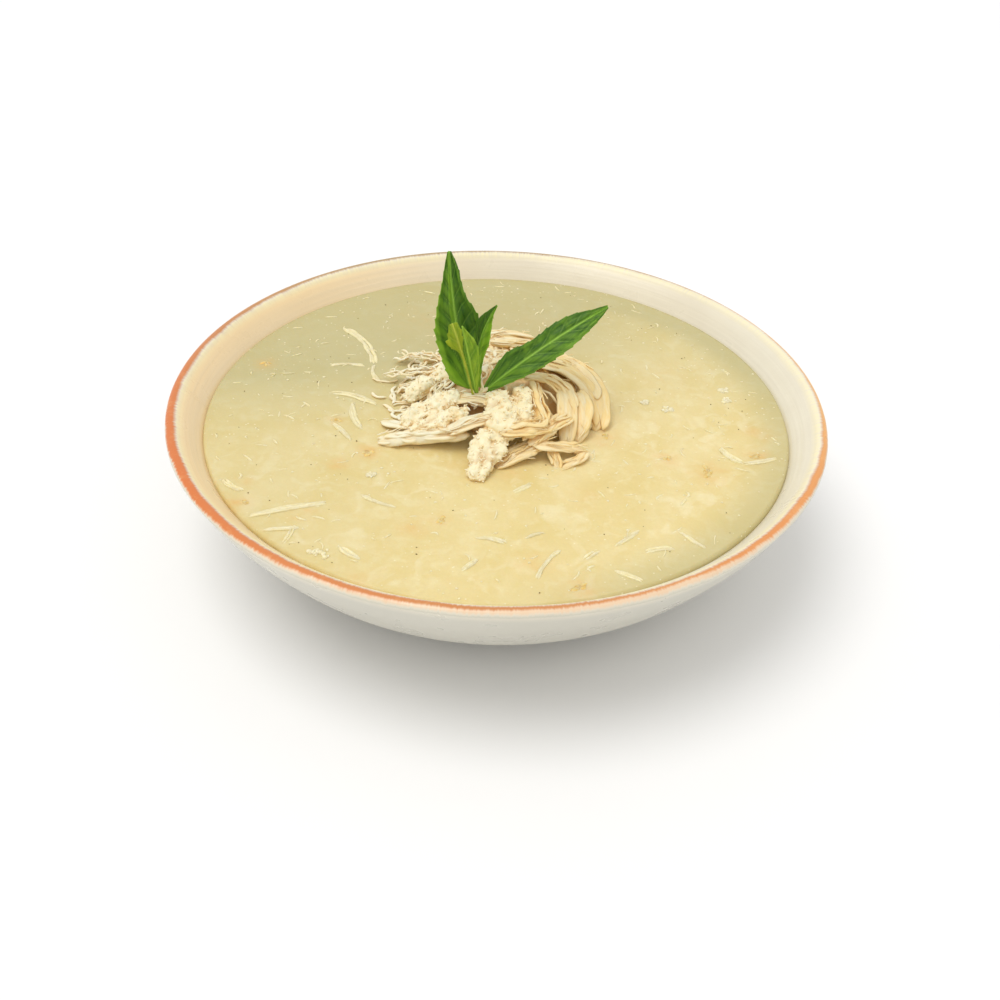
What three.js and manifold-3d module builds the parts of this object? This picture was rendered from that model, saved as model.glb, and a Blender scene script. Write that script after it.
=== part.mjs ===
// A shallow stoneware bowl of creamy chicken soup. A loose heap of shredded chicken stands in
// the middle with a sprig of mint in it. Thin shreds, lumps and carrot bits float in the soup.
// Millimetres. The origin is on the bowl's axis, in the plane that its foot stands on.
// +X is right, +Y points to the back, away from the heap's front tuft, and +Z is up.

import * as THREE from 'three';
import { mergeVertices } from 'three/addons/utils/BufferGeometryUtils.js';
import Module from 'manifold-3d';

const wasm = await Module();
wasm.setup();

// Driving dimensions of the bowl
const RIM_RADIUS = 115;
const BOWL_HEIGHT = 54;
const LIP_WIDTH = 4.4;
const FOOT_OUTER_RADIUS = 45.5;
const FOOT_INNER_RADIUS = 40.5;
const FOOT_HEIGHT = 3.2;
const WELL_DEPTH_LEVEL = 9;
const ROUND_SEGMENTS = 60;

// Driving dimensions of the filling
const SOUP_LEVEL = 46.2;
const MENISCUS_HEIGHT = 0.4;
const MENISCUS_WIDTH = 4;
const GAP = 0.3;
const HEAP_CENTRE = { x: 2, y: 11 };
const HEAP_CORE = { x: 31, y: 31, up: 13, down: 5 };

// Driving dimensions of the sprig
const STEM_RADIUS = 1.3;
const STEM_LENGTH = 9;
const LEAF_THICKNESS = 0.7;
const LEAF_COLUMNS = 4;
const TOOTH_CUT = 0.93;

const toward = (x, y, z) => new THREE.Vector3(x, y, z).normalize();
const above = (x, y, height) => new THREE.Vector3(x, y, SOUP_LEVEL + height);

const SPRIG_BASE = above(-7.4, -4, 10);

// Each leaf: places on its midrib, which way it faces, how it is folded and waved, how many
// teeth its margins have, and its half widths to the left and right, in even steps from base
// to tip
const LEAVES = {
  leaf_tall: {
    base: above(-9.8, -2, 11),
    through: above(-15, 3.2, 32.8),
    tip: above(-17.8, 8, 58.4),
    facing: toward(0.15, -1, 0.25),
    fold: 0.26,
    wave: 0.5,
    teeth: 9,
    left: [0.6, 5.8, 7.2, 7.9, 8.5, 8.5, 7.3, 5.6, 3.7, 2.3, 0.8],
    right: [0.6, 5, 7, 8.4, 9, 9, 8, 5.2, 3.8, 3, 0.8],
  },
  leaf_right: {
    base: above(-5.6, -4, 10.8),
    through: above(15.3, 1, 27),
    tip: above(36.9, 9, 38.9),
    facing: toward(-0.35, -0.8, 0.75),
    fold: 0.18,
    wave: 0.6,
    teeth: 9,
    left: [0.6, 3.2, 5.2, 6, 4.8, 4.5, 5.3, 5.2, 4, 1.9, 0.4],
    right: [0.6, 2.8, 4.3, 5.7, 6.5, 6.9, 7.1, 6.3, 4.9, 3, 0.4],
  },
  leaf_folded: {
    base: above(-6.6, -2.8, 12),
    through: above(-7, -3.4, 29.2),
    tip: above(-1.3, 1, 42.6),
    facing: toward(0.4, -1, 0.2),
    fold: 0.5,
    wave: 0.3,
    teeth: 6,
    left: [0.4, 1.2, 1.8, 2.2, 2.6, 3.2, 4, 5, 5.6, 3, 0.4],
    right: [0.4, 1, 1.7, 2.1, 2.7, 3.2, 3.1, 2.6, 1.7, 0.8, 0.4],
  },
  leaf_inner: {
    base: above(-7.4, -6, 11.4),
    through: above(-10.2, -8.4, 27.4),
    tip: above(-12.6, -8.2, 39.2),
    facing: toward(0.3, -1, 0.1),
    fold: 0.3,
    wave: 0.2,
    teeth: 5,
    left: [0.5, 1.2, 1.4, 1.4, 1.4, 1.4, 1.2, 0.8, 0.6, 0.4, 0.35],
    right: [0.5, 1.2, 2, 2.7, 3.3, 3.7, 3.9, 3.7, 2.8, 1.4, 0.35],
  },
  leaf_young: {
    base: above(-8.6, -7.2, 11.4),
    through: above(-12, -13, 30.2),
    tip: above(-15.8, -12.2, 42.4),
    facing: toward(-0.1, -1, 0.3),
    fold: 0.2,
    wave: 0.2,
    teeth: 6,
    left: [0.4, 0.4, 0.4, 0.4, 0.5, 0.6, 1.7, 4.6, 3.8, 2.7, 1.2],
    right: [0.4, 0.4, 0.4, 0.4, 0.5, 0.5, 0.9, 1.8, 2.5, 2.8, 1.8],
  },
};

// Numbers that vary from piece to piece, the same on every run
function seeded(seed) {
  let state = seed;
  return () => {
    state = (state * 1664525 + 1013904223) % 4294967296;
    return state / 4294967296;
  };
}

function spread(random, low, high) {
  return low + (high - low) * random();
}

// The value at a share of the way along values that are listed in even steps
function listedAt(values, share) {
  const place = share * (values.length - 1);
  const low = Math.min(Math.floor(place), values.length - 2);
  return THREE.MathUtils.lerp(values[low], values[low + 1], place - low);
}

// Solids and booleans
function bareGeometry(geometry) {
  const bare = geometry.clone();
  bare.deleteAttribute('normal');
  bare.deleteAttribute('uv');
  return mergeVertices(bare, 1e-4);
}

function closedSolid(geometry) {
  const { index, attributes } = bareGeometry(geometry);
  const vertProperties = new Float32Array(attributes.position.array);
  const kept = [];
  for (let i = 0; i < index.count; i += 3) {
    const [a, b, c] = index.array.slice(i, i + 3);
    if (a !== b && b !== c && c !== a) kept.push(a, b, c);
  }
  const solidOf = (corners) => new wasm.Manifold(
    new wasm.Mesh({ numProp: 3, vertProperties, triVerts: new Uint32Array(corners) }),
  );
  const solid = solidOf(kept);
  return solid.volume() > 0 ? solid : solidOf(kept.reverse());
}

function joined(solids) {
  return solids.reduce((whole, next) => whole.add(next));
}

// Only the largest body is kept, so loose scraps go and hollows that joining sealed are filled
function largestBody(solid) {
  return solid.decompose().reduce((best, next) => (next.volume() > best.volume() ? next : best));
}

function geometryOf(solid) {
  const mesh = solid.getMesh();
  const geometry = new THREE.BufferGeometry();
  geometry.setAttribute('position', new THREE.BufferAttribute(mesh.vertProperties, 3));
  geometry.setIndex(new THREE.BufferAttribute(mesh.triVerts, 1));
  geometry.computeVertexNormals();
  return geometry;
}

function turned(profile) {
  const lathe = new THREE.LatheGeometry(profile, ROUND_SEGMENTS);
  lathe.rotateX(Math.PI / 2);
  return closedSolid(lathe);
}

// The bowl's wall, as radius and height
const point = (radius, height) => new THREE.Vector2(radius, height);

const outerWall = new THREE.SplineCurve([
  point(FOOT_OUTER_RADIUS + 1.5, FOOT_HEIGHT + 0.2),
  point(76, 8.6),
  point(92.8, 21),
  point(107.3, 39),
  point(RIM_RADIUS, BOWL_HEIGHT - 1.4),
]);

const innerWall = new THREE.SplineCurve([
  point(RIM_RADIUS - LIP_WIDTH, BOWL_HEIGHT - 1),
  point(104.6, SOUP_LEVEL + MENISCUS_HEIGHT),
  point(88, 24.5),
  point(70, 14.5),
  point(40, WELL_DEPTH_LEVEL + 0.6),
]);

const OUTER_WALL_STEPS = 10;
const INNER_WALL_STEPS = 8;
const SOUP_EDGE_STEP = 2;

function bowlSolid() {
  return turned([
    point(0, FOOT_HEIGHT),
    point(FOOT_INNER_RADIUS - 1, FOOT_HEIGHT),
    point(FOOT_INNER_RADIUS, 0),
    point(FOOT_OUTER_RADIUS, 0),
    ...outerWall.getPoints(OUTER_WALL_STEPS),
    point(RIM_RADIUS - 0.6, BOWL_HEIGHT - 0.4),
    point(RIM_RADIUS - LIP_WIDTH / 2, BOWL_HEIGHT),
    ...innerWall.getPoints(INNER_WALL_STEPS),
    point(0, WELL_DEPTH_LEVEL),
  ]);
}

// The soup, a gap clear of the wall, with its edge drawn up a little
function soupBasin() {
  const wall = [];
  for (let step = INNER_WALL_STEPS; step >= SOUP_EDGE_STEP; step -= 1) {
    const on = innerWall.getPoint(step / INNER_WALL_STEPS);
    const along = innerWall.getTangent(step / INNER_WALL_STEPS);
    wall.push(point(on.x + along.y * GAP * 1.2, on.y - along.x * GAP * 1.2));
  }
  const edge = wall[wall.length - 1];
  return turned([
    point(0, WELL_DEPTH_LEVEL + GAP * 1.2),
    ...wall,
    point(edge.x - MENISCUS_WIDTH, SOUP_LEVEL),
    point(0, SOUP_LEVEL),
  ]);
}

// A strip follows a curve. It is widest in its middle, its width lies flat, and rough makes it
// a crumbly chunk.
function strip(curve, width, thickness, options = {}) {
  const { sides = 5, steps = 6, blunt = 0.35, rough = 0, seed = 7 } = options;
  const random = seeded(seed);
  const ball = bareGeometry(new THREE.SphereGeometry(1, sides, steps));
  const position = ball.attributes.position;
  const vertex = new THREE.Vector3();
  for (let i = 0; i < position.count; i += 1) {
    vertex.fromBufferAttribute(position, i);
    const along = Math.acos(THREE.MathUtils.clamp(vertex.y, -1, 1)) / Math.PI;
    const ring = Math.sin(along * Math.PI);
    const swell = ring < 1e-6 ? 0 : (1 + spread(random, -rough, rough)) * ring ** (blunt - 1);
    const tangent = curve.getTangent(along);
    const across = new THREE.Vector3(-tangent.y, tangent.x, 0).normalize();
    const upward = new THREE.Vector3().crossVectors(tangent, across);
    const place = curve.getPoint(along)
      .addScaledVector(across, vertex.x * swell * width / 2)
      .addScaledVector(upward, vertex.z * swell * thickness / 2);
    position.setXYZ(i, place.x, place.y, place.z);
  }
  return closedSolid(ball);
}

// A bowed curve between two places, lifted by arch and pushed sideways by bow in its middle.
// Heights are given above the soup.
function bowed([x0, y0, h0], [x1, y1, h1], arch = 0, bow = 0) {
  const from = new THREE.Vector3(x0, y0, SOUP_LEVEL + h0);
  const to = new THREE.Vector3(x1, y1, SOUP_LEVEL + h1);
  const side = new THREE.Vector3(from.y - to.y, to.x - from.x, 0).normalize();
  const middle = from.clone().lerp(to, 0.5).addScaledVector(side, 2 * bow);
  middle.z += 2 * arch;
  return new THREE.QuadraticBezierCurve3(from, middle, to);
}

// The chicken's larger pieces: from, to, arch, bow, width, thickness
const CHICKEN_SHREDS = [
  [[-41, -20.5, 1], [-9, -23, 5.5], 0.4, 0.8, 6.5, 5.4],
  [[-41, -8, 1.4], [-11, -24.5, 8], 0.2, -1, 3, 2.6],
  [[-20, -5, 8], [0, -9.5, 10.4], 1, -1, 6, 4],
  [[-17, -23, 6.5], [3, -18, 10.5], 0.8, 0.8, 5, 4],
  [[1, -25, 8.6], [18, -19.5, 7], 1.2, -1.4, 8, 4.6],
  [[12, 1, 12.5], [17, -19, 6], 1.6, -0.8, 5, 4],
  [[8, 2, 14], [30, -12, 3], 3.4, 6, 5, 3.4],
  [[13, 10, 14], [35, -1, 4], 2.6, 4.5, 4.6, 3],
  [[20, 22, 9.5], [34.5, -10, 1.2], 3, 6, 9, 3.6],
  [[21, 4, 11], [24, -20, 1], 2.2, 1.4, 4.6, 3.4],
  [[28, 2, 8.5], [28, -18, 1], 2, 2, 4.6, 3.2],
  [[25, -11, 6.5], [11, -28, 5.5], 0.8, -0.6, 6, 3.4],
  [[12, -26.5, 5.2], [30, -24, 2.4], 0.8, -0.6, 3.6, 2.8],
  [[30, -24.4, 2.6], [22, -32.5, 0.6], 0.6, 1.4, 2.8, 2.4],
  [[18, -24.5, 4], [21, -33, 0.5], 0.4, 0, 2.6, 2.4],
  [[-1, -33, 1], [18, -24, 4], 0.8, 0.8, 8, 3],
  [[15, 12, 14.6], [29, 9, 10], 1.4, 2.6, 3.4, 3],
  [[20, 16, 13], [36, 17, 4], 1.4, 1, 3, 2.6],
  [[-13, 32, 10], [13, 38, 9], 1.4, 1.4, 5, 3.6],
  [[-4, 26, 13.5], [16, 28, 11], 1, -1.6, 4, 3],
  [[-22, 12, 9], [-41, 22, 1.4], 1, 1.6, 3.4, 3],
  [[-20, 20, 8], [-38, 34, 1.2], 1.2, -1.6, 3.2, 2.8],
  [[-30, 22, 3.4], [-18, 39, 3], 1, -1.4, 3.4, 2.8],
  [[-36, 12, 1.4], [-22, 4, 8], 1, 1.2, 4, 3.2],
  [[-24, 38, 3], [-14, 28, 9], 0.6, 1, 3.2, 2.8],
];

// Crumbly chunks of meat across the grain, with the same numbers
const CHICKEN_CHUNKS = [
  [[-33, -14, 3], [-13, -8, 11], 0.8, 0.8, 12, 7],
  [[-29, -19, 3.4], [-10, -14, 9.5], 0.6, 0, 9, 6],
  [[-33, 2, 3], [-15, 10, 10], 0.6, 1.5, 9, 6],
  [[-1, -5, 11], [2.5, -27, 7], 1.6, 1, 14, 8],
  [[8, -2, 11.5], [9, -22, 7.5], 1.2, 0, 9, 7],
  [[3, -20, 8.5], [-6, -42, 0.4], 0.4, -1.6, 12, 6.6],
];

// Hollows between the pieces: place, height above the soup, and half sizes
const HEAP_HOLLOWS = [
  [[-8, -6, 13], [5.5, 5, 5]],
  [[-5.5, -14, 9], [5.5, 3, 6]],
  [[21, -6.5, 8], [3, 5, 5.5]],
];

// Shreds lie round the back of the dome at random, so that it is a loose pile from every side
const BACK_SHREDS = 18;

function domeHeight(x, y) {
  const across = (x - HEAP_CENTRE.x) / HEAP_CORE.x;
  const deep = (y - HEAP_CENTRE.y) / HEAP_CORE.y;
  return HEAP_CORE.up * Math.sqrt(Math.max(0, 1 - across ** 2 - deep ** 2));
}

function backShreds() {
  const random = seeded(41);
  const shreds = [];
  for (let i = 0; i < BACK_SHREDS; i += 1) {
    const around = THREE.MathUtils.degToRad(10 + 160 * (i + spread(random, -0.4, 0.4)) / BACK_SHREDS);
    const out = spread(random, 0.35, 0.88);
    const x = HEAP_CENTRE.x + Math.cos(around) * HEAP_CORE.x * out;
    const y = HEAP_CENTRE.y + Math.sin(around) * HEAP_CORE.y * out;
    const lean = around + Math.PI / 2 + spread(random, -1.4, 1.4);
    const reach = spread(random, 5, 9);
    const ends = [-1, 1].map((way) => {
      const ex = x + Math.cos(lean) * reach * way;
      const ey = y + Math.sin(lean) * reach * way;
      return [ex, ey, Math.max(1, domeHeight(ex, ey))];
    });
    const arch = Math.max(0.4, domeHeight(x, y) + 1 - (ends[0][2] + ends[1][2]) / 2);
    const curve = bowed(ends[0], ends[1], arch, spread(random, -2.4, 2.4));
    shreds.push(strip(curve, spread(random, 2.6, 4.6), spread(random, 2.4, 3.2)));
  }
  return shreds;
}

// The heap's core is a low dome with lumps, sunk a little in the soup
function heapCore(grow) {
  const ball = new THREE.SphereGeometry(1, 20, 12);
  ball.rotateX(Math.PI / 2);
  const position = ball.attributes.position;
  for (let i = 0; i < position.count; i += 1) {
    const [x, y, z] = [position.getX(i), position.getY(i), position.getZ(i)];
    const lump = 1 + 0.05 * Math.sin(7 * x + 2) * Math.cos(6 * y) + 0.04 * Math.cos(9 * y + 4 * x);
    const height = z > 0 ? HEAP_CORE.up : HEAP_CORE.down;
    position.setXYZ(
      i,
      HEAP_CENTRE.x + x * (HEAP_CORE.x * lump + grow),
      HEAP_CENTRE.y + y * (HEAP_CORE.y * lump + grow),
      SOUP_LEVEL + z * (height * lump + grow),
    );
  }
  return closedSolid(ball);
}

// Everything up to a level, for trimming what hangs below it
function slabUpTo(level) {
  const slab = new THREE.BoxGeometry(2.4 * RIM_RADIUS, 2.4 * RIM_RADIUS, level);
  slab.translate(0, 0, level / 2);
  return closedSolid(slab);
}

// The stem leans in the heap
function stemSolid(grow) {
  const up = new THREE.Vector3(-0.1, -0.35, 1).normalize();
  const length = STEM_LENGTH + 2 * grow;
  const stem = new THREE.CylinderGeometry(STEM_RADIUS * 0.8 + grow, STEM_RADIUS + grow, length, 8);
  stem.applyQuaternion(new THREE.Quaternion().setFromUnitVectors(new THREE.Vector3(0, 1, 0), up));
  const middle = SPRIG_BASE.clone().addScaledVector(up, 1 - STEM_LENGTH / 2);
  stem.translate(middle.x, middle.y, middle.z);
  return closedSolid(stem);
}

function roundHollow(x, y, z, [halfX, halfY, halfZ]) {
  const hollow = new THREE.SphereGeometry(1, 12, 8);
  hollow.rotateX(Math.PI / 2);
  hollow.scale(halfX, halfY, halfZ);
  hollow.translate(x, y, z);
  return closedSolid(hollow);
}

function chickenHeap() {
  const shreds = CHICKEN_SHREDS.map(
    ([from, to, arch, bow, width, thickness]) => strip(bowed(from, to, arch, bow), width, thickness),
  );
  const chunks = CHICKEN_CHUNKS.map(([from, to, arch, bow, width, thickness], i) => strip(
    bowed(from, to, arch, bow),
    width,
    thickness,
    { sides: 7, steps: 8, rough: 0.16, seed: 11 + i },
  ));
  const pieces = joined([...shreds, ...chunks, ...backShreds()])
    .subtract(slabUpTo(SOUP_LEVEL + GAP));
  const hollows = HEAP_HOLLOWS.map(
    ([[x, y, height], half]) => roundHollow(x, y, SOUP_LEVEL + height, half),
  );
  const leaves = Object.values(LEAVES).map((leaf) => leafSolid(leaf, 2 * GAP));
  return largestBody(
    heapCore(0).add(pieces).subtract(joined([...hollows, stemSolid(GAP), ...leaves])),
  );
}

// Shreds afloat in the soup: from, to, bow, width
const FLOATING_SHREDS = [
  [[-78, -64], [-54, -56], 0.8, 2.6],
  [[-72, -71], [-61, -69.5], 0.3, 2],
  [[-65, -77], [-63, -69], -0.6, 1.6],
  [[-47, -78], [-40, -84], 0.2, 2],
  [[-43, -50.5], [-32, -57], -0.6, 2.2],
  [[-9, -87], [-4.5, -82], 0, 1.8],
  [[-5, -71], [4, -73], 0.6, 1.8],
  [[10, -71], [16, -68], 0, 1.6],
  [[13, -90], [20, -76], 0.8, 1.8],
  [[28, -80.5], [32, -76], 0, 1.8],
  [[37, -86], [45, -90], 0.4, 1.8],
  [[38, -73], [46, -65], -0.5, 1.8],
  [[47, -76], [56, -74], 0.5, 1.8],
  [[59, -65], [66, -73], -0.4, 1.8],
  [[77, -18], [84, -26.5], -1.6, 2],
  [[84, -26.5], [96, -22.5], -0.6, 2],
  [[6, -46.5], [12, -42], 0.2, 1.8],
  [[-63, 29], [-50, 29.5], 1, 2.2],
  [[-61, 57], [-47, 31], 3, 2.2],
  [[-47, 30], [-43, 17], -1.6, 2],
  [[-60, 10], [-43.5, 3], 1.6, 2.2],
  [[-52, 3], [-47, -13], -1.6, 2],
  [[-58, -10], [-50.5, -20], 0.4, 1.8],
  [[-89, -45], [-82, -51], -1, 1.8],
];

// Pale lumps and carrot bits just at the surface: x, y, length, width, turned by degrees
const SOUP_LUMPS = [
  [61, 5.3, 5, 4, 20],
  [53.4, 9.6, 3, 2.4, 0],
  [83, 19.4, 3, 2.4, 40],
  [-53.4, -81.7, 6, 4, 10],
  [83.9, 12.7, 3, 2.2, 70],
  [-41.2, -40, 3, 2.4, 0],
];

const CARROT_BITS = [
  [-43.5, -26.8, 5, 4, 60],
  [71.9, -32.8, 3, 8, 0],
  [89.4, -22.2, 6.4, 4.2, 15],
  [57.6, -25.4, 4.4, 3.4, 30],
  [26.8, -93.7, 7, 3.4, 20],
  [-87.6, 28.6, 5, 3, 40],
  [-56.3, -7.8, 4, 3, 0],
  [-17.2, -62.6, 4.4, 3, 80],
  [-80, -56.8, 3.6, 3, 30],
  [38, -12.5, 4.4, 3.4, 60],
];

const FLOAT_STAND = 0.8;

function floatingShreds() {
  return FLOATING_SHREDS.map(([[x0, y0], [x1, y1], bow, width]) => strip(
    bowed([x0, y0, 0], [x1, y1, 0], 0, bow),
    width,
    2 * FLOAT_STAND,
    { sides: 5 },
  ));
}

function floatingBit([x, y, length, width, degrees]) {
  const bit = new THREE.SphereGeometry(1, 6, 5);
  bit.rotateX(Math.PI / 2);
  bit.scale(length / 2, width / 2, FLOAT_STAND);
  bit.rotateZ(THREE.MathUtils.degToRad(degrees));
  bit.translate(x, y, SOUP_LEVEL);
  return closedSolid(bit);
}

function soupSolid() {
  const bits = [...SOUP_LUMPS, ...CARROT_BITS].map(floatingBit);
  const whole = joined([soupBasin(), ...floatingShreds(), ...bits]);
  return largestBody(whole.subtract(heapCore(1.6 * GAP)));
}

// A thin solid between two like sheets, with a rim round it. Both sheets are split into
// triangles alike, so they stay a thickness apart where the sheet is twisted.
function thinSheet(columns, rows, placeAt) {
  const sheet = new THREE.PlaneGeometry(2, 1, columns, rows);
  const { position } = sheet.attributes;
  const vertices = [1, -1].flatMap((side) => Array.from(
    { length: position.count },
    (_, i) => placeAt(position.getX(i), position.getY(i) + 0.5, side).toArray(),
  ));
  const back = position.count;
  const faces = [];
  for (let i = 0; i < sheet.index.count; i += 3) {
    const [a, b, c] = sheet.index.array.slice(i, i + 3);
    faces.push(a, b, c, a + back, c + back, b + back);
  }
  const at = (column, row) => row * (columns + 1) + column;
  const rim = [];
  for (let column = 0; column < columns; column += 1) rim.push(at(column, 0));
  for (let row = 0; row < rows; row += 1) rim.push(at(columns, row));
  for (let column = columns; column > 0; column -= 1) rim.push(at(column, rows));
  for (let row = rows; row > 0; row -= 1) rim.push(at(0, row));
  rim.forEach((a, i) => {
    const b = rim[(i + 1) % rim.length];
    faces.push(a, b, b + back, a, b + back, a + back);
  });
  const geometry = new THREE.BufferGeometry();
  geometry.setAttribute('position', new THREE.Float32BufferAttribute(vertices.flat(), 3));
  geometry.setIndex(faces);
  return closedSolid(geometry);
}

// A leaf's midrib runs from base through its middle to its tip. Its blade is thin and wavy,
// with toothed margins, folded a little along the midrib.
function leafSolid(leaf, grow = 0) {
  const { base, through, tip, facing, fold, wave, teeth, left, right } = leaf;
  const control = base.clone().add(tip).multiplyScalar(-0.5).addScaledVector(through, 2);
  const midrib = new THREE.QuadraticBezierCurve3(base, control, tip);
  const rows = 2 * teeth;
  const thick = LEAF_THICKNESS + 2 * grow;
  return thinSheet(LEAF_COLUMNS, rows, (across, along, side) => {
    const atTooth = Math.abs(across) > 0.9 && Math.round(along * rows) % 2 === 1;
    const half = listedAt(across < 0 ? left : right, along) * (atTooth ? TOOTH_CUT : 1);
    const tangent = midrib.getTangent(along);
    const aside = new THREE.Vector3().crossVectors(tangent, facing).normalize();
    const outward = new THREE.Vector3().crossVectors(aside, tangent).normalize();
    const ripple = wave * Math.sin(along * 9 + across * 1.3) * Math.abs(across);
    const lift = Math.abs(across) * half * Math.sin(fold) + ripple;
    return midrib.getPoint(along)
      .addScaledVector(tangent, 2 * grow * (along - 0.5))
      .addScaledVector(aside, across * (half * Math.cos(fold) + grow))
      .addScaledVector(outward, lift + side * thick / 2);
  });
}

// The named sub-parts and their finishes
const group = new THREE.Group();

function place(name, solid, color, roughness) {
  const finish = new THREE.MeshStandardMaterial({ color, roughness, metalness: 0 });
  const mesh = new THREE.Mesh(geometryOf(solid), finish);
  mesh.name = name;
  group.add(mesh);
}

place('bowl', bowlSolid(), 0xe6dcc6, 0.35);
place('soup', soupSolid(), 0xe6d8a8, 0.4);
place('chicken_heap', chickenHeap(), 0xf0ddb0, 0.7);
place('stem', stemSolid(0), 0x86b03c, 0.5);
for (const [name, leaf] of Object.entries(LEAVES)) {
  place(name, leafSolid(leaf), name === 'leaf_young' ? 0x9cc23c : 0x3d8a24, 0.45);
}

export default group;
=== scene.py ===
import math
from functools import lru_cache

import bpy
import numpy as np
from mathutils import Matrix, Vector


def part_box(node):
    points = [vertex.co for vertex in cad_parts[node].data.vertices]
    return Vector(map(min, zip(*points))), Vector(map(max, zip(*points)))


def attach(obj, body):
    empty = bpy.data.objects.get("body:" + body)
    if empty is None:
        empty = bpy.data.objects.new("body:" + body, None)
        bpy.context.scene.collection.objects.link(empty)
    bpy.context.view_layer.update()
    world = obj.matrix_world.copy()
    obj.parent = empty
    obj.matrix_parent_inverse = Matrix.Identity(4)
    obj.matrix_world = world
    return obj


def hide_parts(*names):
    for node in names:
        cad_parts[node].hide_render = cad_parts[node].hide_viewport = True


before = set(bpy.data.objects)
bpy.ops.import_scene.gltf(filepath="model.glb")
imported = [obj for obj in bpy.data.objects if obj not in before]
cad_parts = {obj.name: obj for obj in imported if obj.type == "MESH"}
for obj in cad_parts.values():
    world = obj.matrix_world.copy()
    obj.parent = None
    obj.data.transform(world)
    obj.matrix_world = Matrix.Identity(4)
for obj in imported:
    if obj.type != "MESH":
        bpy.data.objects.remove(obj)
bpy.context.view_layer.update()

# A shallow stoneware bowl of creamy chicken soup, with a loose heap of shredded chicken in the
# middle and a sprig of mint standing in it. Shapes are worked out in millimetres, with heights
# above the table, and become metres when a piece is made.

MM = 0.001

# The camera: its place in millimetres, and how it is turned
CAMERA_REACH = 450
CAMERA_HEIGHT_ANGLE = math.radians(32.30)
AIM_HEIGHT = 54
PITCH = math.radians(37.05)
YAW = math.radians(0.30)
ROLL = math.radians(1.96)
FOCAL_PIXELS = 1271
PICTURE_PIXELS = 1000
SENSOR = 36

# The bowl and what it holds. The bowl's reach and height come from the frame.
BOWL_HIGH = np.array(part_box("bowl")[1]) / MM
RIM_RADIUS = BOWL_HIGH[0]
BOWL_HEIGHT = BOWL_HIGH[2]
LIP_WIDTH = 4.4
FOOT_OUTER_RADIUS = 45.5
FOOT_INNER_RADIUS = 40.5
FOOT_HEIGHT = 3.2
WELL_DEPTH_LEVEL = 9
SOUP_LEVEL = 46.2
MENISCUS_HEIGHT = 0.4
MENISCUS_WIDTH = 4
SOUP_EDGE = 104.2
# How far the soup reaches into the wall, so that no slit shows between them
SOUP_OVERLAP = 0.12
HEAP_X, HEAP_Y = 2, 11
HEAP_REACH = 29
HEAP_UP = 11.6


def srgb(red, green, blue):
    """A colour given as 0 to 255, as the renderer's own light values."""
    def light(value):
        share = value / 255
        return share / 12.92 if share <= 0.04045 else ((share + 0.055) / 1.055) ** 2.4
    return (light(red), light(green), light(blue), 1.0)


def smooth_step(low, high, value):
    share = np.clip((value - low) / (high - low), 0, 1)
    return share * share * (3 - 2 * share)


def patchy(points, size, seed):
    """Smooth random numbers from -1 to 1 at points, which change over about this size."""
    cells = np.asarray(points, float) / size
    low = np.floor(cells).astype(np.int64)
    part = cells - low
    part = part * part * (3 - 2 * part)
    total = np.zeros(cells.shape[:-1])
    for corner in np.ndindex(2, 2, 2):
        at = low + corner
        mixed = at[..., 0] * 73856093 ^ at[..., 1] * 19349663 ^ at[..., 2] * 83492791 ^ seed * 7919
        mixed = (mixed ^ (mixed >> 13)) * 1274126177
        value = ((mixed ^ (mixed >> 16)) & 0xFFFF) / 32767.5 - 1
        total += value * np.prod(np.where(corner, part, 1 - part), axis=-1)
    return total


def unit(vectors):
    return vectors / np.maximum(np.linalg.norm(vectors, axis=-1, keepdims=True), 1e-9)


# Meshes
class Parts:
    """Many small closed bodies that become one piece, with numbers at their points."""

    def __init__(self):
        self.places, self.faces, self.numbers, self.count = [], [], {}, 0

    def add(self, places, faces, **numbers):
        self.places.append(places)
        self.faces += [tuple(corner + self.count for corner in face) for face in faces]
        for name, values in numbers.items():
            filled = np.broadcast_to(values, (len(places),) + np.shape(values)[1:])
            self.numbers.setdefault(name, []).append(filled)
        self.count += len(places)
        return self

    def piece(self, name, material, slot, replaced=()):
        mesh = bpy.data.meshes.new(name)
        places = np.concatenate(self.places) * MM
        mesh.from_pydata(places.tolist(), [], self.faces)
        mesh.polygons.foreach_set("use_smooth", [True] * len(mesh.polygons))
        for number, parts in self.numbers.items():
            values = np.concatenate(parts).astype(np.float32)
            kind = "FLOAT_VECTOR" if values.ndim == 2 else "FLOAT"
            attribute = mesh.attributes.new(number, kind, "POINT")
            attribute.data.foreach_set("vector" if values.ndim == 2 else "value", values.ravel())
        mesh.update()
        mesh.materials.append(material)
        made = bpy.data.objects.new(name, mesh)
        bpy.context.scene.collection.objects.link(made)
        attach(made, "root")
        if replaced:
            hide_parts(*replaced)


@lru_cache(maxsize=None)
def tube_faces(rings, sides):
    """Faces of a tube of rings, with one point at each end. The end points come last."""
    faces = []
    for ring in range(rings - 1):
        for side in range(sides):
            a, b = ring * sides + side, ring * sides + (side + 1) % sides
            faces.append((a, b, b + sides, a + sides))
    first, last = rings * sides, rings * sides + 1
    top = (rings - 1) * sides
    for side in range(sides):
        after = (side + 1) % sides
        faces.append((after, side, first))
        faces.append((top + side, top + after, last))
    return tuple(faces)


def directions(path, upward=(0, 0, 1)):
    """Ahead, across and up at each point of a path."""
    tangent = unit(np.gradient(path, axis=0))
    across = unit(np.cross(np.broadcast_to(upward, tangent.shape), tangent))
    return tangent, across, np.cross(tangent, across)


def path_length(path):
    return np.linalg.norm(np.diff(path, axis=0), axis=1).sum()


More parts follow.
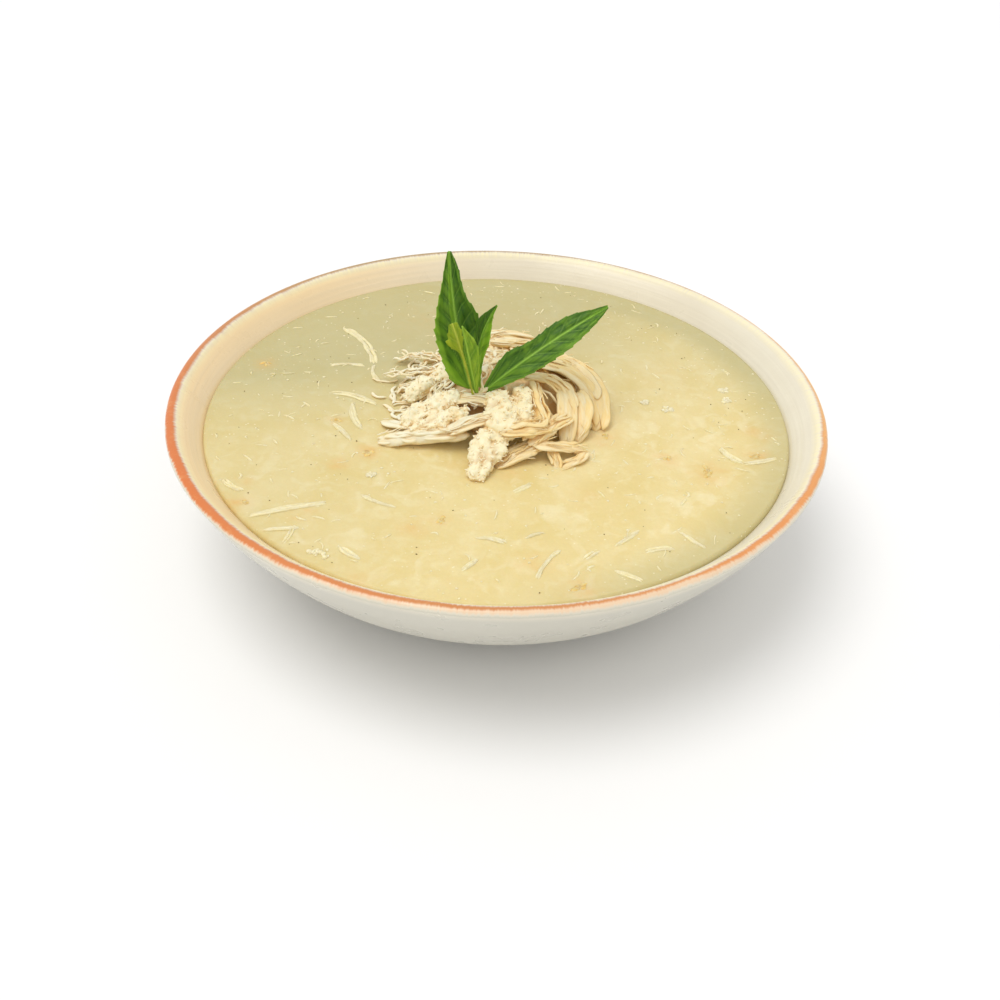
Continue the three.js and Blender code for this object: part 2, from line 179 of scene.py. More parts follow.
def swept(path, half_width, half_thick, sides, upward=(0, 0, 1)):
    """A closed body along a path, with an oval section. The section's seam is underneath."""
    _, across, up = directions(path, upward)
    turn = 2 * np.pi * np.arange(sides) / sides - np.pi / 2
    rings = (path[:, None]
             + across[:, None] * (np.cos(turn)[None, :, None] * half_width[..., None])
             + up[:, None] * (np.sin(turn)[None, :, None] * half_thick[..., None]))
    places = np.concatenate([rings.reshape(-1, 3), path[:1], path[-1:]])
    return places, tube_faces(len(path), sides)


def lathe(profile, segments):
    """A closed body turned round the axis. The profile starts and ends on the axis."""
    inner = profile[1:-1]
    turn = 2 * np.pi * np.arange(segments) / segments
    rings = np.stack([inner[:, :1] * np.cos(turn), inner[:, :1] * np.sin(turn),
                      np.repeat(inner[:, 1:], segments, axis=1)], axis=-1)
    ends = np.array([[0, 0, profile[0, 1]], [0, 0, profile[-1, 1]]])
    return np.concatenate([rings.reshape(-1, 3), ends]), tube_faces(len(inner), segments)


def spline(points, steps):
    """A smooth curve through the points, in even steps between them."""
    points = np.array(points, float)
    padded = np.concatenate([points[:1], points, points[-1:]])
    out = []
    for step in np.linspace(0, len(points) - 1, steps + 1):
        index = min(int(step), len(points) - 2)
        t = step - index
        before, start, end, after = padded[index:index + 4]
        out.append(
            (2 * start - 2 * end + (end - before) / 2 + (after - start) / 2) * t ** 3
            + (3 * end - 3 * start - (end - before) - (after - start) / 2) * t ** 2
            + (end - before) / 2 * t + start
        )
    return np.array(out)


# Materials
class Finish:
    """A material built node by node. Sizes are in millimetres."""

    def __init__(self, name):
        self.material = bpy.data.materials.new(name)
        self.material.use_nodes = True
        self.tree = self.material.node_tree
        self.shader = self.tree.nodes["Principled BSDF"]
        self.place = self.tree.nodes.new("ShaderNodeTexCoord").outputs["Object"]

    def new(self, kind, settings=(), **inputs):
        node = self.tree.nodes.new(kind)
        for name, value in dict(settings).items():
            setattr(node, name, value)
        for name, value in inputs.items():
            self.feed(node.inputs[name.replace("_", " ")], value)
        return node

    def feed(self, socket, value):
        if isinstance(value, bpy.types.NodeSocket):
            self.tree.links.new(value, socket)
        else:
            socket.default_value = value

    def attribute(self, name, vector=False):
        node = self.new("ShaderNodeAttribute", {"attribute_name": name})
        return node.outputs["Vector" if vector else "Fac"]

    def noise(self, size, detail=3.0, roughness=0.55, place=None, distortion=0.0):
        node = self.new("ShaderNodeTexNoise", Scale=1 / (size * MM), Detail=detail,
                        Roughness=roughness, Distortion=distortion,
                        Vector=self.place if place is None else place)
        return node.outputs["Fac"]

    def cells(self, size):
        node = self.new("ShaderNodeTexVoronoi", Scale=1 / (size * MM), Vector=self.place)
        return node.outputs["Distance"]

    def range(self, value, low, high, start=0.0, end=1.0):
        node = self.new("ShaderNodeMapRange", {"clamp": True}, Value=value)
        for name, number in (("From Min", low), ("From Max", high), ("To Min", start),
                             ("To Max", end)):
            node.inputs[name].default_value = number
        return node.outputs["Result"]

    def math(self, operation, first, second):
        node = self.new("ShaderNodeMath", {"operation": operation})
        self.feed(node.inputs[0], first)
        self.feed(node.inputs[1], second)
        return node.outputs["Value"]

    def times(self, first, second):
        return self.math("MULTIPLY", first, second)

    def coats(self, colour, *coats):
        """A colour with others laid over it, each by its share."""
        for share, over in coats:
            colour = self.mix(share, colour, over)
        return colour

    def mix(self, share, first, second):
        node = self.new("ShaderNodeMix", {"data_type": "RGBA"})
        self.feed(node.inputs[0], share)
        self.feed(node.inputs[6], first)
        self.feed(node.inputs[7], second)
        return node.outputs[2]

    def bump(self, height, depth, under=None):
        node = self.new("ShaderNodeBump", Strength=1.0, Distance=depth * MM, Height=height)
        if under is not None:
            self.feed(node.inputs["Normal"], under)
        return node.outputs["Normal"]

    def finish(self, colour, roughness, normal=None, soft=0.0, depth=(1, 1, 1), **fixed):
        self.feed(self.shader.inputs["Base Color"], colour)
        self.feed(self.shader.inputs["Roughness"], roughness)
        if normal is not None:
            self.feed(self.shader.inputs["Normal"], normal)
        self.shader.inputs["Subsurface Weight"].default_value = soft
        self.shader.inputs["Subsurface Scale"].default_value = MM
        self.shader.inputs["Subsurface Radius"].default_value = depth
        for name, value in fixed.items():
            self.shader.inputs[name.replace("_", " ")].default_value = value
        return self.material


def bowl_finish():
    """Cream stoneware. The lip's glaze is orange on the left, gold on the right and brown at the
    back. The attributes band_in and band_out say where it starts and ends on the lip."""
    f = Finish("cream_stoneware")
    clouds = f.noise(38, detail=4)
    throwing = f.noise(1.0, detail=2, place=f.attribute("rings", vector=True))
    body = f.mix(f.range(clouds, 0.35, 0.65), srgb(238, 232, 213), srgb(230, 223, 204))
    # Peach on the inner wall: partly the glaze's colour, partly painted warm light bounced from the rim.
    body = f.mix(f.attribute("peach"), body, srgb(252, 218, 160))
    body = f.mix(f.range(throwing, 0.35, 0.75, 0.0, 0.18), body, srgb(206, 196, 176))
    body = f.mix(f.attribute("outer"), body, srgb(206, 203, 190))
    wander = f.math("SUBTRACT", f.noise(11, detail=3, roughness=0.5), 0.5)
    drips = f.noise(1.0, detail=3, place=f.attribute("streaks", vector=True))
    lip = f.math("ADD", f.attribute("lip"), f.times(wander, 1.6))
    lip = f.math("ADD", lip, f.times(f.math("SUBTRACT", drips, 0.5), 1.7))
    from_inside = f.math("SUBTRACT", lip, f.attribute("band_in"))
    band = f.times(f.range(from_inside, 0.6, -0.6),
                  f.range(f.math("SUBTRACT", lip, f.attribute("band_out")), -0.5, 0.4))
    orange = f.mix(f.attribute("gold"), srgb(220, 122, 60), srgb(246, 196, 122))
    glaze = f.mix(f.attribute("brown"), orange, srgb(168, 146, 100))
    worn = f.range(f.noise(4.0, detail=3, roughness=0.6), 0.54, 0.74)
    glaze = f.mix(f.times(worn, 0.22), glaze, srgb(248, 208, 146))
    edge = f.times(f.range(from_inside, -0.9, -0.1), f.range(from_inside, 0.7, 0.1))
    glaze = f.mix(f.times(edge, 0.45), glaze, srgb(190, 120, 64))
    runs = f.times(f.range(from_inside, 0.2, 0.9), f.range(from_inside, 4.2, 1.6))
    runs = f.times(runs, f.range(drips, 0.35, 0.65, 0.25, 0.8))
    body = f.mix(f.times(runs, f.attribute("inner")), body, srgb(253, 240, 190))
    blush = f.times(f.range(lip, -2.6, -1.6), f.range(from_inside, 0.0, -0.8))
    body = f.mix(f.times(blush, f.attribute("blush")), body, srgb(238, 208, 174))
    # Painted shade: a grey line a little below the lip, standing in for the shadow of a groove.
    painted_groove_shade = f.times(f.range(lip, -4.4, -3.4), f.range(lip, -2.2, -3.0))
    body = f.mix(f.times(painted_groove_shade, 0.4), body, srgb(190, 186, 168))
    colour = f.mix(band, body, glaze)
    rough = f.range(f.noise(12, detail=3), 0.3, 0.7, 0.24, 0.38)
    calm = f.range(f.attribute("outer"), 0.2, 0.8, 1.0, 0.12)
    waves = f.bump(f.times(throwing, calm), 0.14)
    pores = f.times(f.noise(2.2, detail=3), calm)
    return f.finish(colour, rough, f.bump(pores, 0.05, waves), IOR=1.5)


def soup_finish():
    """Thick cream soup: cloudy, fine grained, with blurred peach places over sunk carrot, and
    painted shade towards the back, the left and the right-hand wall.
    """
    f = Finish("cream_soup")
    clouds = f.noise(26, detail=5, roughness=0.6, distortion=0.6)
    small = f.noise(5.5, detail=4, roughness=0.6)
    colour = f.mix(f.range(clouds, 0.34, 0.66), srgb(235, 217, 160), srgb(228, 207, 140))
    milk = f.range(f.noise(9, detail=2, roughness=0.4, distortion=1.2), 0.56, 0.72, 0.0, 0.4)
    grain = f.range(f.noise(0.9, detail=3, roughness=0.7), 0.36, 0.64)
    dots = f.range(f.cells(2.4), 0.15, 0.08)
    here = f.range(f.noise(14, detail=2), 0.45, 0.6)
    glow = f.times(f.attribute("glow"), f.range(f.noise(3.2, detail=2), 0.3, 0.62, 0.45, 1.0))
    # One coat is painted shade: an olive darkening towards the back, the left and the right-hand wall.
    colour = f.coats(
        colour, (f.range(small, 0.5, 0.72, 0.0, 0.4), srgb(244, 233, 188)),
        (milk, srgb(246, 236, 196)), (f.attribute("shade"), srgb(182, 176, 130)),
        (f.times(grain, 0.14), srgb(208, 190, 134)),
        (f.times(f.times(dots, here), 0.6), srgb(250, 243, 214)), (glow, srgb(230, 174, 92)),
    )
    height = f.math("ADD", f.noise(3.4, detail=4), f.times(f.noise(0.8, detail=2), 0.2))
    rough = f.range(f.noise(18, detail=3), 0.3, 0.7, 0.34, 0.5)
    return f.finish(colour, rough, f.bump(height, 0.16), soft=0.2, depth=(3.0, 2.2, 1.2), IOR=1.36)


def chicken_finish(name, pale, warm, specks, relief):
    """Cooked chicken: fibres along each shred, warmer to the right and paler to the left. Where
    the meat is hidden between its neighbours, in crevices and hollows, it gets a yellow brown painted
    shade."""
    f = Finish(name)
    fibres = f.noise(1.0, detail=3, roughness=0.55, place=f.attribute("grain", vector=True))
    patches = f.noise(5.0, detail=3)
    # Painted shade: an occlusion node finds the crevices, and a yellow brown is laid over the meat there.
    occlusion_for_painted_shade = f.new("ShaderNodeAmbientOcclusion", {"samples": 4}, Distance=3.5 * MM).outputs["AO"]
    colour = f.coats(
        pale, (f.attribute("warmth"), warm),
        (f.range(patches, 0.52, 0.74, 0.0, 0.5), srgb(250, 214, 146)),
        (f.range(fibres, 0.46, 0.66, 0.0, 0.3), srgb(255, 250, 226)),
        (f.range(fibres, 0.42, 0.28, 0.0, 0.22), srgb(240, 202, 134)),
        (f.range(occlusion_for_painted_shade, 0.8, 0.25, 0.0, 0.6), srgb(242, 200, 124)),
        # Painted shade in the hollows between the pieces, given by the mesh.
        (f.attribute("deep"), srgb(200, 148, 80)),
    )
    if specks:
        dots = f.range(f.cells(1.7), 0.2, 0.12)
        some = f.range(f.noise(4.5, detail=1), 0.54, 0.64)
        colour = f.mix(f.times(f.times(dots, some), 0.6), colour, srgb(176, 128, 80))
    rough = f.range(patches, 0.3, 0.7, 0.42, 0.58)
    return f.finish(colour, rough, f.bump(fibres, relief), soft=0.12, depth=(0.9, 0.7, 0.45), IOR=1.4)


def leaf_finish(name, dark, middle, bright, vein):
    """Mint: a green blade with lengthwise streaks and light ribs. The attribute light brightens it
    towards the base and is painted light on the margins, cushions and pleat ridges, and shadow
    is painted shade in the vein creases and on a shaded half."""
    f = Finish(name)
    streaks = f.noise(1.0, detail=4, roughness=0.6, place=f.attribute("grain", vector=True))
    blotch = f.noise(6.0, detail=3)
    colour = f.coats(
        dark, (f.range(streaks, 0.38, 0.6), middle), (f.range(blotch, 0.5, 0.7, 0.0, 0.55), bright),
        (f.attribute("light"), bright), (f.attribute("shadow"), dark), (f.attribute("vein"), vein),
    )
    height = f.math("ADD", f.times(f.cells(0.7), 0.5), streaks)
    rough = f.range(blotch, 0.3, 0.7, 0.42, 0.58)
    return f.finish(colour, rough, f.bump(height, 0.1), soft=0.2, depth=(0.5, 0.9, 0.2), IOR=1.33)


def plain_food_finish(name, main, other, size, soft, depth, rough=(0.3, 0.45)):
    """A small soft topping with two mottled colours."""
    f = Finish(name)
    mottle = f.noise(size, detail=4, roughness=0.6)
    colour = f.mix(f.range(mottle, 0.36, 0.64), main, other)
    return f.finish(colour, f.range(mottle, 0.3, 0.7, *rough), f.bump(mottle, 0.12), soft=soft,
                    depth=depth, IOR=1.4)


def floor_finish():
    f = Finish("pale_floor")
    colour = f.mix(f.range(f.noise(300, detail=2), 0.3, 0.7), srgb(250, 250, 250), srgb(247, 247, 247))
    return f.finish(colour, f.range(f.noise(90, detail=2), 0.3, 0.7, 0.6, 0.7))


# The bowl
OUTER_WALL = [(FOOT_OUTER_RADIUS + 1.5, FOOT_HEIGHT + 0.2), (76, 8.6), (92.8, 21), (107.3, 39),
              (RIM_RADIUS, BOWL_HEIGHT - 1.6)]
INNER_WALL = [(RIM_RADIUS - LIP_WIDTH, BOWL_HEIGHT - 1), (104.6, SOUP_LEVEL + MENISCUS_HEIGHT),
              (88, 24.5), (70, 14.5), (40, WELL_DEPTH_LEVEL + 0.6)]
LIP = [(RIM_RADIUS, BOWL_HEIGHT - 1.6), (RIM_RADIUS - 0.25, BOWL_HEIGHT - 0.8),
       (RIM_RADIUS - 1, BOWL_HEIGHT - 0.2), (RIM_RADIUS - 2.2, BOWL_HEIGHT),
       (RIM_RADIUS - 3.5, BOWL_HEIGHT - 0.3), (RIM_RADIUS - LIP_WIDTH, BOWL_HEIGHT - 1)]
BOWL_SEGMENTS = 288
# The band of glaze on the lip, at turns in degrees from the right: where it starts and ends, in
# millimetres inside the lip's crown, and how gold and how brown it is
BAND_TURNS = (-180, -150, -120, -90, -60, -40, -20, 0, 30, 60, 90, 120, 150, 180)
BAND_IN = (1.0, 1.3, 1.1, 0.9, 0.7, 1.0, 0.6, -0.6, -0.8, -0.2, 0.3, 0.6, 0.9, 1.0)
BAND_OUT = (-2.3, -2.0, -1.3, -0.7, -0.4, -1.2, -2.0, -2.3, -2.5, -2.6, -3.0, -3.0, -2.6, -2.3)
BAND_GOLD = (0.0, 0.0, 0.1, 0.1, 0.3, 0.3, 0.45, 0.8, 1.0, 1.0, 1.0, 0.6, 0.1, 0.0)
BAND_BROWN = (0.1, 0.0, 0.1, 0.3, 0.1, 0.0, 0.0, 0.0, 0.1, 0.7, 1.0, 0.9, 0.5, 0.1)


def make_bowl():
    foot = [(0, FOOT_HEIGHT), (20, FOOT_HEIGHT), (FOOT_INNER_RADIUS - 1.6, FOOT_HEIGHT),
            (FOOT_INNER_RADIUS - 0.4, FOOT_HEIGHT - 0.7), (FOOT_INNER_RADIUS + 0.1, 0.5),
            (FOOT_INNER_RADIUS + 0.8, 0), (FOOT_OUTER_RADIUS - 0.8, 0), (FOOT_OUTER_RADIUS - 0.1, 0.5),
            (FOOT_OUTER_RADIUS + 0.3, FOOT_HEIGHT - 0.5)]
    outer, lip, inner = spline(OUTER_WALL, 44), spline(LIP, 20), spline(INNER_WALL, 44)
    profile = np.concatenate([foot, outer, lip[1:], inner[1:],
                              [(20, WELL_DEPTH_LEVEL + 0.15), (0, WELL_DEPTH_LEVEL)]])
    places, faces = lathe(profile, BOWL_SEGMENTS)
    lengths = np.concatenate([[0], np.cumsum(np.linalg.norm(np.diff(profile, axis=0), axis=1))])
    crown = lengths[np.argmax(profile[:, 1])]
    from_crown = np.concatenate([np.repeat(lengths[1:-1] - crown, BOWL_SEGMENTS), [-crown, 99]])
    angle = np.arctan2(places[:, 1], places[:, 0])
    high = smooth_step(20, 50, places[:, 2])
    hand = patchy(np.stack([np.cos(angle), np.sin(angle), places[:, 2] / 60], axis=-1), 0.35, 5)
    out = np.hypot(places[:, 0], places[:, 1])
    places[:, :2] *= (1 - 0.0022 * high * (0.5 + 0.5 * hand))[:, None]
    turn = np.degrees(angle)
    left, back = smooth_step(0.1, -0.9, np.cos(angle)), smooth_step(0.35, 0.95, np.sin(angle))
    front = smooth_step(0.2, -0.9, np.sin(angle))
    inside = smooth_step(1.0, 4.0, from_crown)
    near_lip = np.exp(-np.maximum(from_crown, 0) / 9)
    Parts().add(
        places, faces, lip=from_crown, inner=smooth_step(-0.5, 0.5, from_crown),
        outer=smooth_step(-3, -8, from_crown) * 0.8,
        # The peach towards the left and near the lip is partly glaze colour, partly painted warm bounced
        # light.
        peach=inside * np.clip(left * (0.45 + 0.55 * near_lip) + 0.12 * back, 0, 1),
        band_in=np.interp(turn, BAND_TURNS, BAND_IN), band_out=np.interp(turn, BAND_TURNS, BAND_OUT),
        gold=np.interp(turn, BAND_TURNS, BAND_GOLD), brown=np.interp(turn, BAND_TURNS, BAND_BROWN),
        blush=np.clip(front + 0.3 * left, 0, 1),
        rings=np.stack([out * MM / 2.2, places[:, 2] * MM / 1.6, angle * MM * 1.5], axis=-1),
        streaks=np.stack([angle * 120 * MM, from_crown * MM * 0.12, 0 * angle], axis=-1),
    ).piece("bowl_body", bowl_finish(), "bowl", ["bowl"])


# The soup, and what floats in it. Places are in millimetres from the bowl's axis.
SOUP_SEGMENTS = 448
SOUP_RINGS = 118
# From, to, bow, width
FLOATING_SHREDS = [
    ((-78, -64), (-54, -56), 0.8, 2.6), ((-72, -71), (-61, -69.5), 0.3, 2),
    ((-65, -77), (-63, -69), -0.6, 1.6), ((-47, -78), (-40, -84), 0.2, 2),
    ((-43, -50.5), (-32, -57), -0.6, 2.2), ((-9, -87), (-4.5, -82), 0, 1.8),
    ((-5, -71), (4, -73), 0.6, 1.8), ((10, -71), (16, -68), 0, 1.6),
    ((13, -90), (20, -76), 0.8, 1.8), ((28, -80.5), (32, -76), 0, 1.8),
    ((37, -86), (45, -90), 0.4, 1.8), ((38, -73), (46, -65), -0.5, 1.8),
    ((47, -76), (56, -74), 0.5, 1.8), ((59, -65), (66, -73), -0.4, 1.8),
    ((77, -18), (84, -26.5), -1.6, 2), ((84, -26.5), (96, -22.5), -0.6, 2),
    ((6, -46.5), (12, -42), 0.2, 1.8), ((-63, 29), (-50, 29.5), 1, 2.2),
    ((-61, 57), (-47, 31), 3, 2.2), ((-47, 30), (-43, 17), -1.6, 2),
    ((-60, 10), (-43.5, 3), 1.6, 2.2), ((-52, 3), (-47, -13), -1.6, 2),
    ((-58, -10), (-50.5, -20), 0.4, 1.8), ((-89, -45), (-82, -51), -1, 1.8),
]
# Place, length, width
SOUP_LUMPS = [
    (61, 5.3, 5, 4), (53.4, 9.6, 3, 2.4), (83, 19.4, 3, 2.4), (-53.4, -81.7, 6, 4),
    (83.9, 12.7, 3, 2.2), (-41.2, -40, 3, 2.4),
]
# Place, length, width, and turn in degrees
CARROT_BITS = [
    (-43.5, -26.8, 5, 4, 60), (71.9, -32.8, 3, 8, 0), (89.4, -22.2, 6.4, 4.2, 15),
    (57.6, -25.4, 4.4, 3.4, 30), (26.8, -93.7, 7, 3.4, 20), (-87.6, 28.6, 5, 3, 40),
    (-56.3, -7.8, 4, 3, 0), (-17.2, -62.6, 4.4, 3, 80), (-80, -56.8, 3.6, 3, 30),
    (38, -12.5, 4.4, 3.4, 60),
]
# Peach places where carrot lies sunk: place, reach, strength
SUNK_CARROT = [
    (-53, -34, 4.5, 0.5), (-84, -58, 6, 0.35), (-82, -46, 4, 0.3), (-61, -61, 7, 0.3),
    (-25, -67, 6, 0.4), (92, -8, 6, 0.4), (58, -26, 6, 0.3), (38, -15, 7, 0.3), (-44, -27, 6, 0.3),
    (14, 62, 16, 0.1), (-30, 66, 14, 0.1), (30, -48, 9, 0.18), (-12, -32, 8, 0.12),
    (13.5, -83, 8, 0.3), (-40, -94, 8, 0.2), (60, 30, 12, 0.1), (5, -38, 6, 0.25),
]
# How strongly the soup round each carrot bit is tinted
BIT_GLOW = 0.4
# How many threads make a shred and grains a lump, and how many small things lie all over the soup
THREADS_A_SHRED = 3
GRAINS_A_LUMP = 14
BITS_A_CARROT = 4
FINE_THREADS = 230
LOOSE_GRAINS = 260
PEPPER_GRAINS = 90


def soup_height(x, y):
    """The surface swells a little, and climbs at the wall."""
    at = np.stack([x, y, np.zeros_like(x)], axis=-1)
    out = np.hypot(x, y)
    swell = 0.10 * patchy(at, 17, 3) + 0.045 * patchy(at, 5, 4)
    rise = MENISCUS_HEIGHT * smooth_step(SOUP_EDGE - MENISCUS_WIDTH, SOUP_EDGE, out) ** 1.6
    return SOUP_LEVEL + swell * smooth_step(104, 98, out) + rise


def make_soup():
    wall = spline(INNER_WALL, 32)
    under = wall[wall[:, 1] < SOUP_LEVEL + MENISCUS_HEIGHT][::-1]
    side = np.stack([under[:, 0] + SOUP_OVERLAP, under[:, 1]], axis=-1)
    edge = side[-1]
    reach = np.linspace(1, 0, SOUP_RINGS + 1)[1:] ** 0.94 * edge[0]
    top = np.stack([reach, np.full_like(reach, SOUP_LEVEL)], axis=-1)
    profile = np.concatenate([[(0, WELL_DEPTH_LEVEL + 0.4)], side, top])
    places, faces = lathe(profile, SOUP_SEGMENTS)
    x, y = places[:, 0], places[:, 1]
    upper = np.zeros(len(places), bool)
    upper[len(side) * SOUP_SEGMENTS:-2] = True
    upper[-1] = True
    places[upper, 2] = soup_height(x[upper], y[upper])
    at = places * [1, 1, 0]
    glow = np.zeros(len(places))
    spots = SUNK_CARROT + [(cx, cy, max(length, width), BIT_GLOW)
                           for cx, cy, length, width, _ in CARROT_BITS]
    for cx, cy, spot, strength in spots:
        glow += strength * np.exp(-((x - cx) ** 2 + (y - cy) ** 2) / (0.55 * spot ** 2))
    glow *= 0.75 + 0.5 * patchy(at, 2.6, 8)
    # Painted shade: the soup is darker and more olive towards the back, on the left and near the wall on
    # the right.
    painted_shade_mask = smooth_step(-25, 80, y + 0.15 * np.abs(x)) * smooth_step(60, -40, x - 0.4 * y)
    painted_shade_mask += 0.35 * smooth_step(0, -85, x)
    near_wall = smooth_step(84, 103, np.hypot(x, y))
    painted_shade_mask += 0.5 * smooth_step(-20, 60, y) + 0.9 * near_wall * smooth_step(-10, 60, x)
    parts = Parts()
    parts.add(places, faces, glow=np.clip(glow, 0, 0.85), shade=0.62 * np.clip(painted_shade_mask, 0, 1.2))
    parts.piece("soup_body", soup_finish(), "soup", ["soup"])


def bowed(start, end, arch, bow, steps=26):
    """Points on a bowed curve between two places. Heights are above the soup."""
    first, last = (np.array(tuple(place) + (0,) * (3 - len(place)), float) for place in (start, end))
    side = unit(np.array([first[1] - last[1], last[0] - first[0], 0]))
    middle = (first + last) / 2 + side * 2 * bow + np.array([0, 0, 2 * arch])
    t = np.linspace(0, 1, steps)[:, None]
    return (1 - t) ** 2 * first + 2 * t * (1 - t) * middle + t * t * last + [0, 0, SOUP_LEVEL]


def warmth_at(places):
    return np.clip(smooth_step(-22, 26, places[:, 0]) * 0.85 + 0.1, 0, 1)


def strand(parts, path, width, thick, seed, sides, ragged, blunt=1.0, deep=0.0):
    """One strand of meat: grooved along its length, with short ragged ends. A larger blunt makes
    the ends shorter."""
    count = len(path)
    along = np.linspace(0, 1, count)
    length = path_length(path)
    from_end = np.clip(np.minimum(along, 1 - along) * length, 0.03, None) * blunt / width
    taper = np.minimum(1, from_end) ** 0.5
    turn = 2 * np.pi * np.arange(sides) / sides
    ring = np.stack(np.broadcast_arrays(
        np.cos(turn)[None] * width / 2, np.sin(turn)[None] * thick / 2,
        (along * length / 7)[:, None] + seed * 3.1), axis=-1)
    swell = taper[:, None] * (1 + ragged * patchy(ring, 0.55, 21) + 0.7 * ragged * patchy(
        ring * [1, 1, 2.4], 1.7, 22) + 1.2 * ragged * patchy(ring * [0, 0, 3], 1.6, 23))
    places, faces = swept(path, swell * width / 2, swell * thick / 2, sides)
    around = np.tile(np.arange(sides) / sides * (width + thick) * 1.5, count)
    grain = np.stack([around, np.repeat(along * length * 0.12, sides), np.full(count * sides, seed * 1.7)],
                     axis=-1) * MM / 0.42
    grain = np.concatenate([grain, grain[:1], grain[-1:]])
    tint = 0.28 * math.sin(seed * 12.9898)
    # An even painted shade over the whole strand comes from the caller, none by default.
    parts.add(places, faces, grain=grain, warmth=np.clip(warmth_at(places) + tint, 0, 1), deep=deep)


def open_soup(random, count, reach, nearest, forward, clear):
    """Random places on the soup with their numbers from 1, within this reach of the bowl's axis and
    clear of the heap. Forward is how far in front of the heap's middle that clear circle lies."""
    for number in range(1, count + 1):
        angle, out = random.uniform(0, 2 * np.pi), reach * np.sqrt(random.uniform(nearest, 1))
        x, y = out * np.cos(angle), out * np.sin(angle)
        if np.hypot(x - HEAP_X, y - HEAP_Y + forward) >= clear:
            yield number, x, y


def make_floating(random):
    """Pale shreds that lie in the surface, and fine threads all over it."""
    parts = Parts()
    for index, (start, end, bow, width) in enumerate(FLOATING_SHREDS):
        for seed in range(index * THREADS_A_SHRED + 1, (index + 1) * THREADS_A_SHRED + 1):
            shift = random.normal(0, width * 0.2, 2)
            path = bowed(np.add(start, shift), np.add(end, shift), 0.12, bow + random.normal(0, 0.4))
            path[:, :2] += 0.35 * patchy(path * [1, 1, 0] + seed * 9, 3.5, 31)[:, None]
            path[:, 2] += random.uniform(-0.22, -0.02)
            strand(parts, path, width * random.uniform(0.4, 0.75), random.uniform(0.7, 1.0), seed, 8,
                   0.2, 0.6)
    for number, x, y in open_soup(random, FINE_THREADS, 99, 0.02, 8, 38):
        seed = len(FLOATING_SHREDS) * THREADS_A_SHRED + number
        lean, length = random.uniform(0, np.pi), random.uniform(1.2, 5.5)
        step = np.array([np.cos(lean), np.sin(lean)]) * length / 2
        path = bowed((x - step[0], y - step[1]), (x + step[0], y + step[1]), 0.05,
                     random.normal(0, 0.5), 10)
        path[:, 2] += random.uniform(-0.16, 0.02)
        strand(parts, path, random.uniform(0.4, 0.9), 0.6, seed, 6, 0.2, 0.6)
    finish = plain_food_finish("floating_meat", srgb(250, 238, 194), srgb(242, 226, 170), 1.6, 0.2,
                               (2.0, 1.5, 0.8))
    parts.piece("floating_shreds", finish, "chicken")


@lru_cache(maxsize=None)
def round_grain(rings, sides):
    """A unit ball as points and faces."""
    tilt = np.pi * (np.arange(rings) + 1) / (rings + 1)
    turn = 2 * np.pi * np.arange(sides) / sides
    ball = np.stack([np.outer(np.sin(tilt), np.cos(turn)), np.outer(np.sin(tilt), np.sin(turn)),
                     np.repeat(np.cos(tilt)[:, None], sides, 1)], axis=-1).reshape(-1, 3)
    places = np.concatenate([ball, [[0, 0, 1], [0, 0, -1]]])
    faces = [tuple(reversed(face)) for face in tube_faces(rings, sides)]
    return places, faces


def lump(parts, centre, half, seed, degrees, rough, detail=(5, 8), **numbers):
    """One rough grain with these half sizes."""
    ball, faces = round_grain(*detail)
    shape = ball * (1 + rough * patchy(ball + seed * 5.3, 0.9, 41) + 0.5 * rough * patchy(
        ball + seed * 2.1, 0.4, 42))[:, None] * half
    angle = math.radians(degrees)
    turned = np.array([[math.cos(angle), math.sin(angle), 0], [-math.sin(angle), math.cos(angle), 0],
                       [0, 0, 1]])
    parts.add(shape @ turned + centre, faces, **numbers)


def make_lumps(random):
    """Pale curds: a few loose lumps of them, and single grains all over the soup."""
    parts = Parts()
    for index, (x, y, length, width) in enumerate(SOUP_LUMPS):
        for seed in range(index * GRAINS_A_LUMP + 1, (index + 1) * GRAINS_A_LUMP + 1):
            dx, dy = random.normal(0, length * 0.26), random.normal(0, width * 0.26)
            size = random.uniform(0.5, 1.2)
            lump(parts, (x + dx, y + dy, SOUP_LEVEL + 0.05), (size, size * 0.8, size * 0.55), seed,
                 random.uniform(0, 180), 0.3)
    for number, x, y in open_soup(random, LOOSE_GRAINS, 101, 0.1, 8, 38):
        seed = len(SOUP_LUMPS) * GRAINS_A_LUMP + number
        size = random.uniform(0.22, 0.6)
        lump(parts, (x, y, SOUP_LEVEL - 0.05), (size, size * 0.8, size * 0.5), seed, 0, 0.3, (4, 6))
    finish = plain_food_finish("curd", srgb(250, 240, 202), srgb(244, 230, 180), 1.2, 0.2,
                               (2.0, 1.5, 0.8))
    parts.piece("soup_lumps", finish, "soup")


def make_carrot(random):
    """Small bits of carrot, sunk all but their tops."""
    parts = Parts()
    for index, (x, y, length, width, degrees) in enumerate(CARROT_BITS):
        turn = math.radians(degrees)
        for seed in range(index * BITS_A_CARROT, (index + 1) * BITS_A_CARROT):
            ahead, aside = random.uniform(-0.32, 0.32) * length, random.uniform(-0.32, 0.32) * width
            place = (x + ahead * math.cos(turn) - aside * math.sin(turn),
                     y + ahead * math.sin(turn) + aside * math.cos(turn), SOUP_LEVEL - 0.36)
            size = random.uniform(0.24, 0.36)
            lump(parts, place, (length * size, width * size, 0.55), seed, degrees + random.normal(0, 25),
                 0.34, (9, 14))
    finish = plain_food_finish("carrot", srgb(238, 190, 104), srgb(242, 214, 150), 1.4, 0.3,
                               (2.6, 1.4, 0.6))
    parts.piece("carrot_bits", finish, "soup")


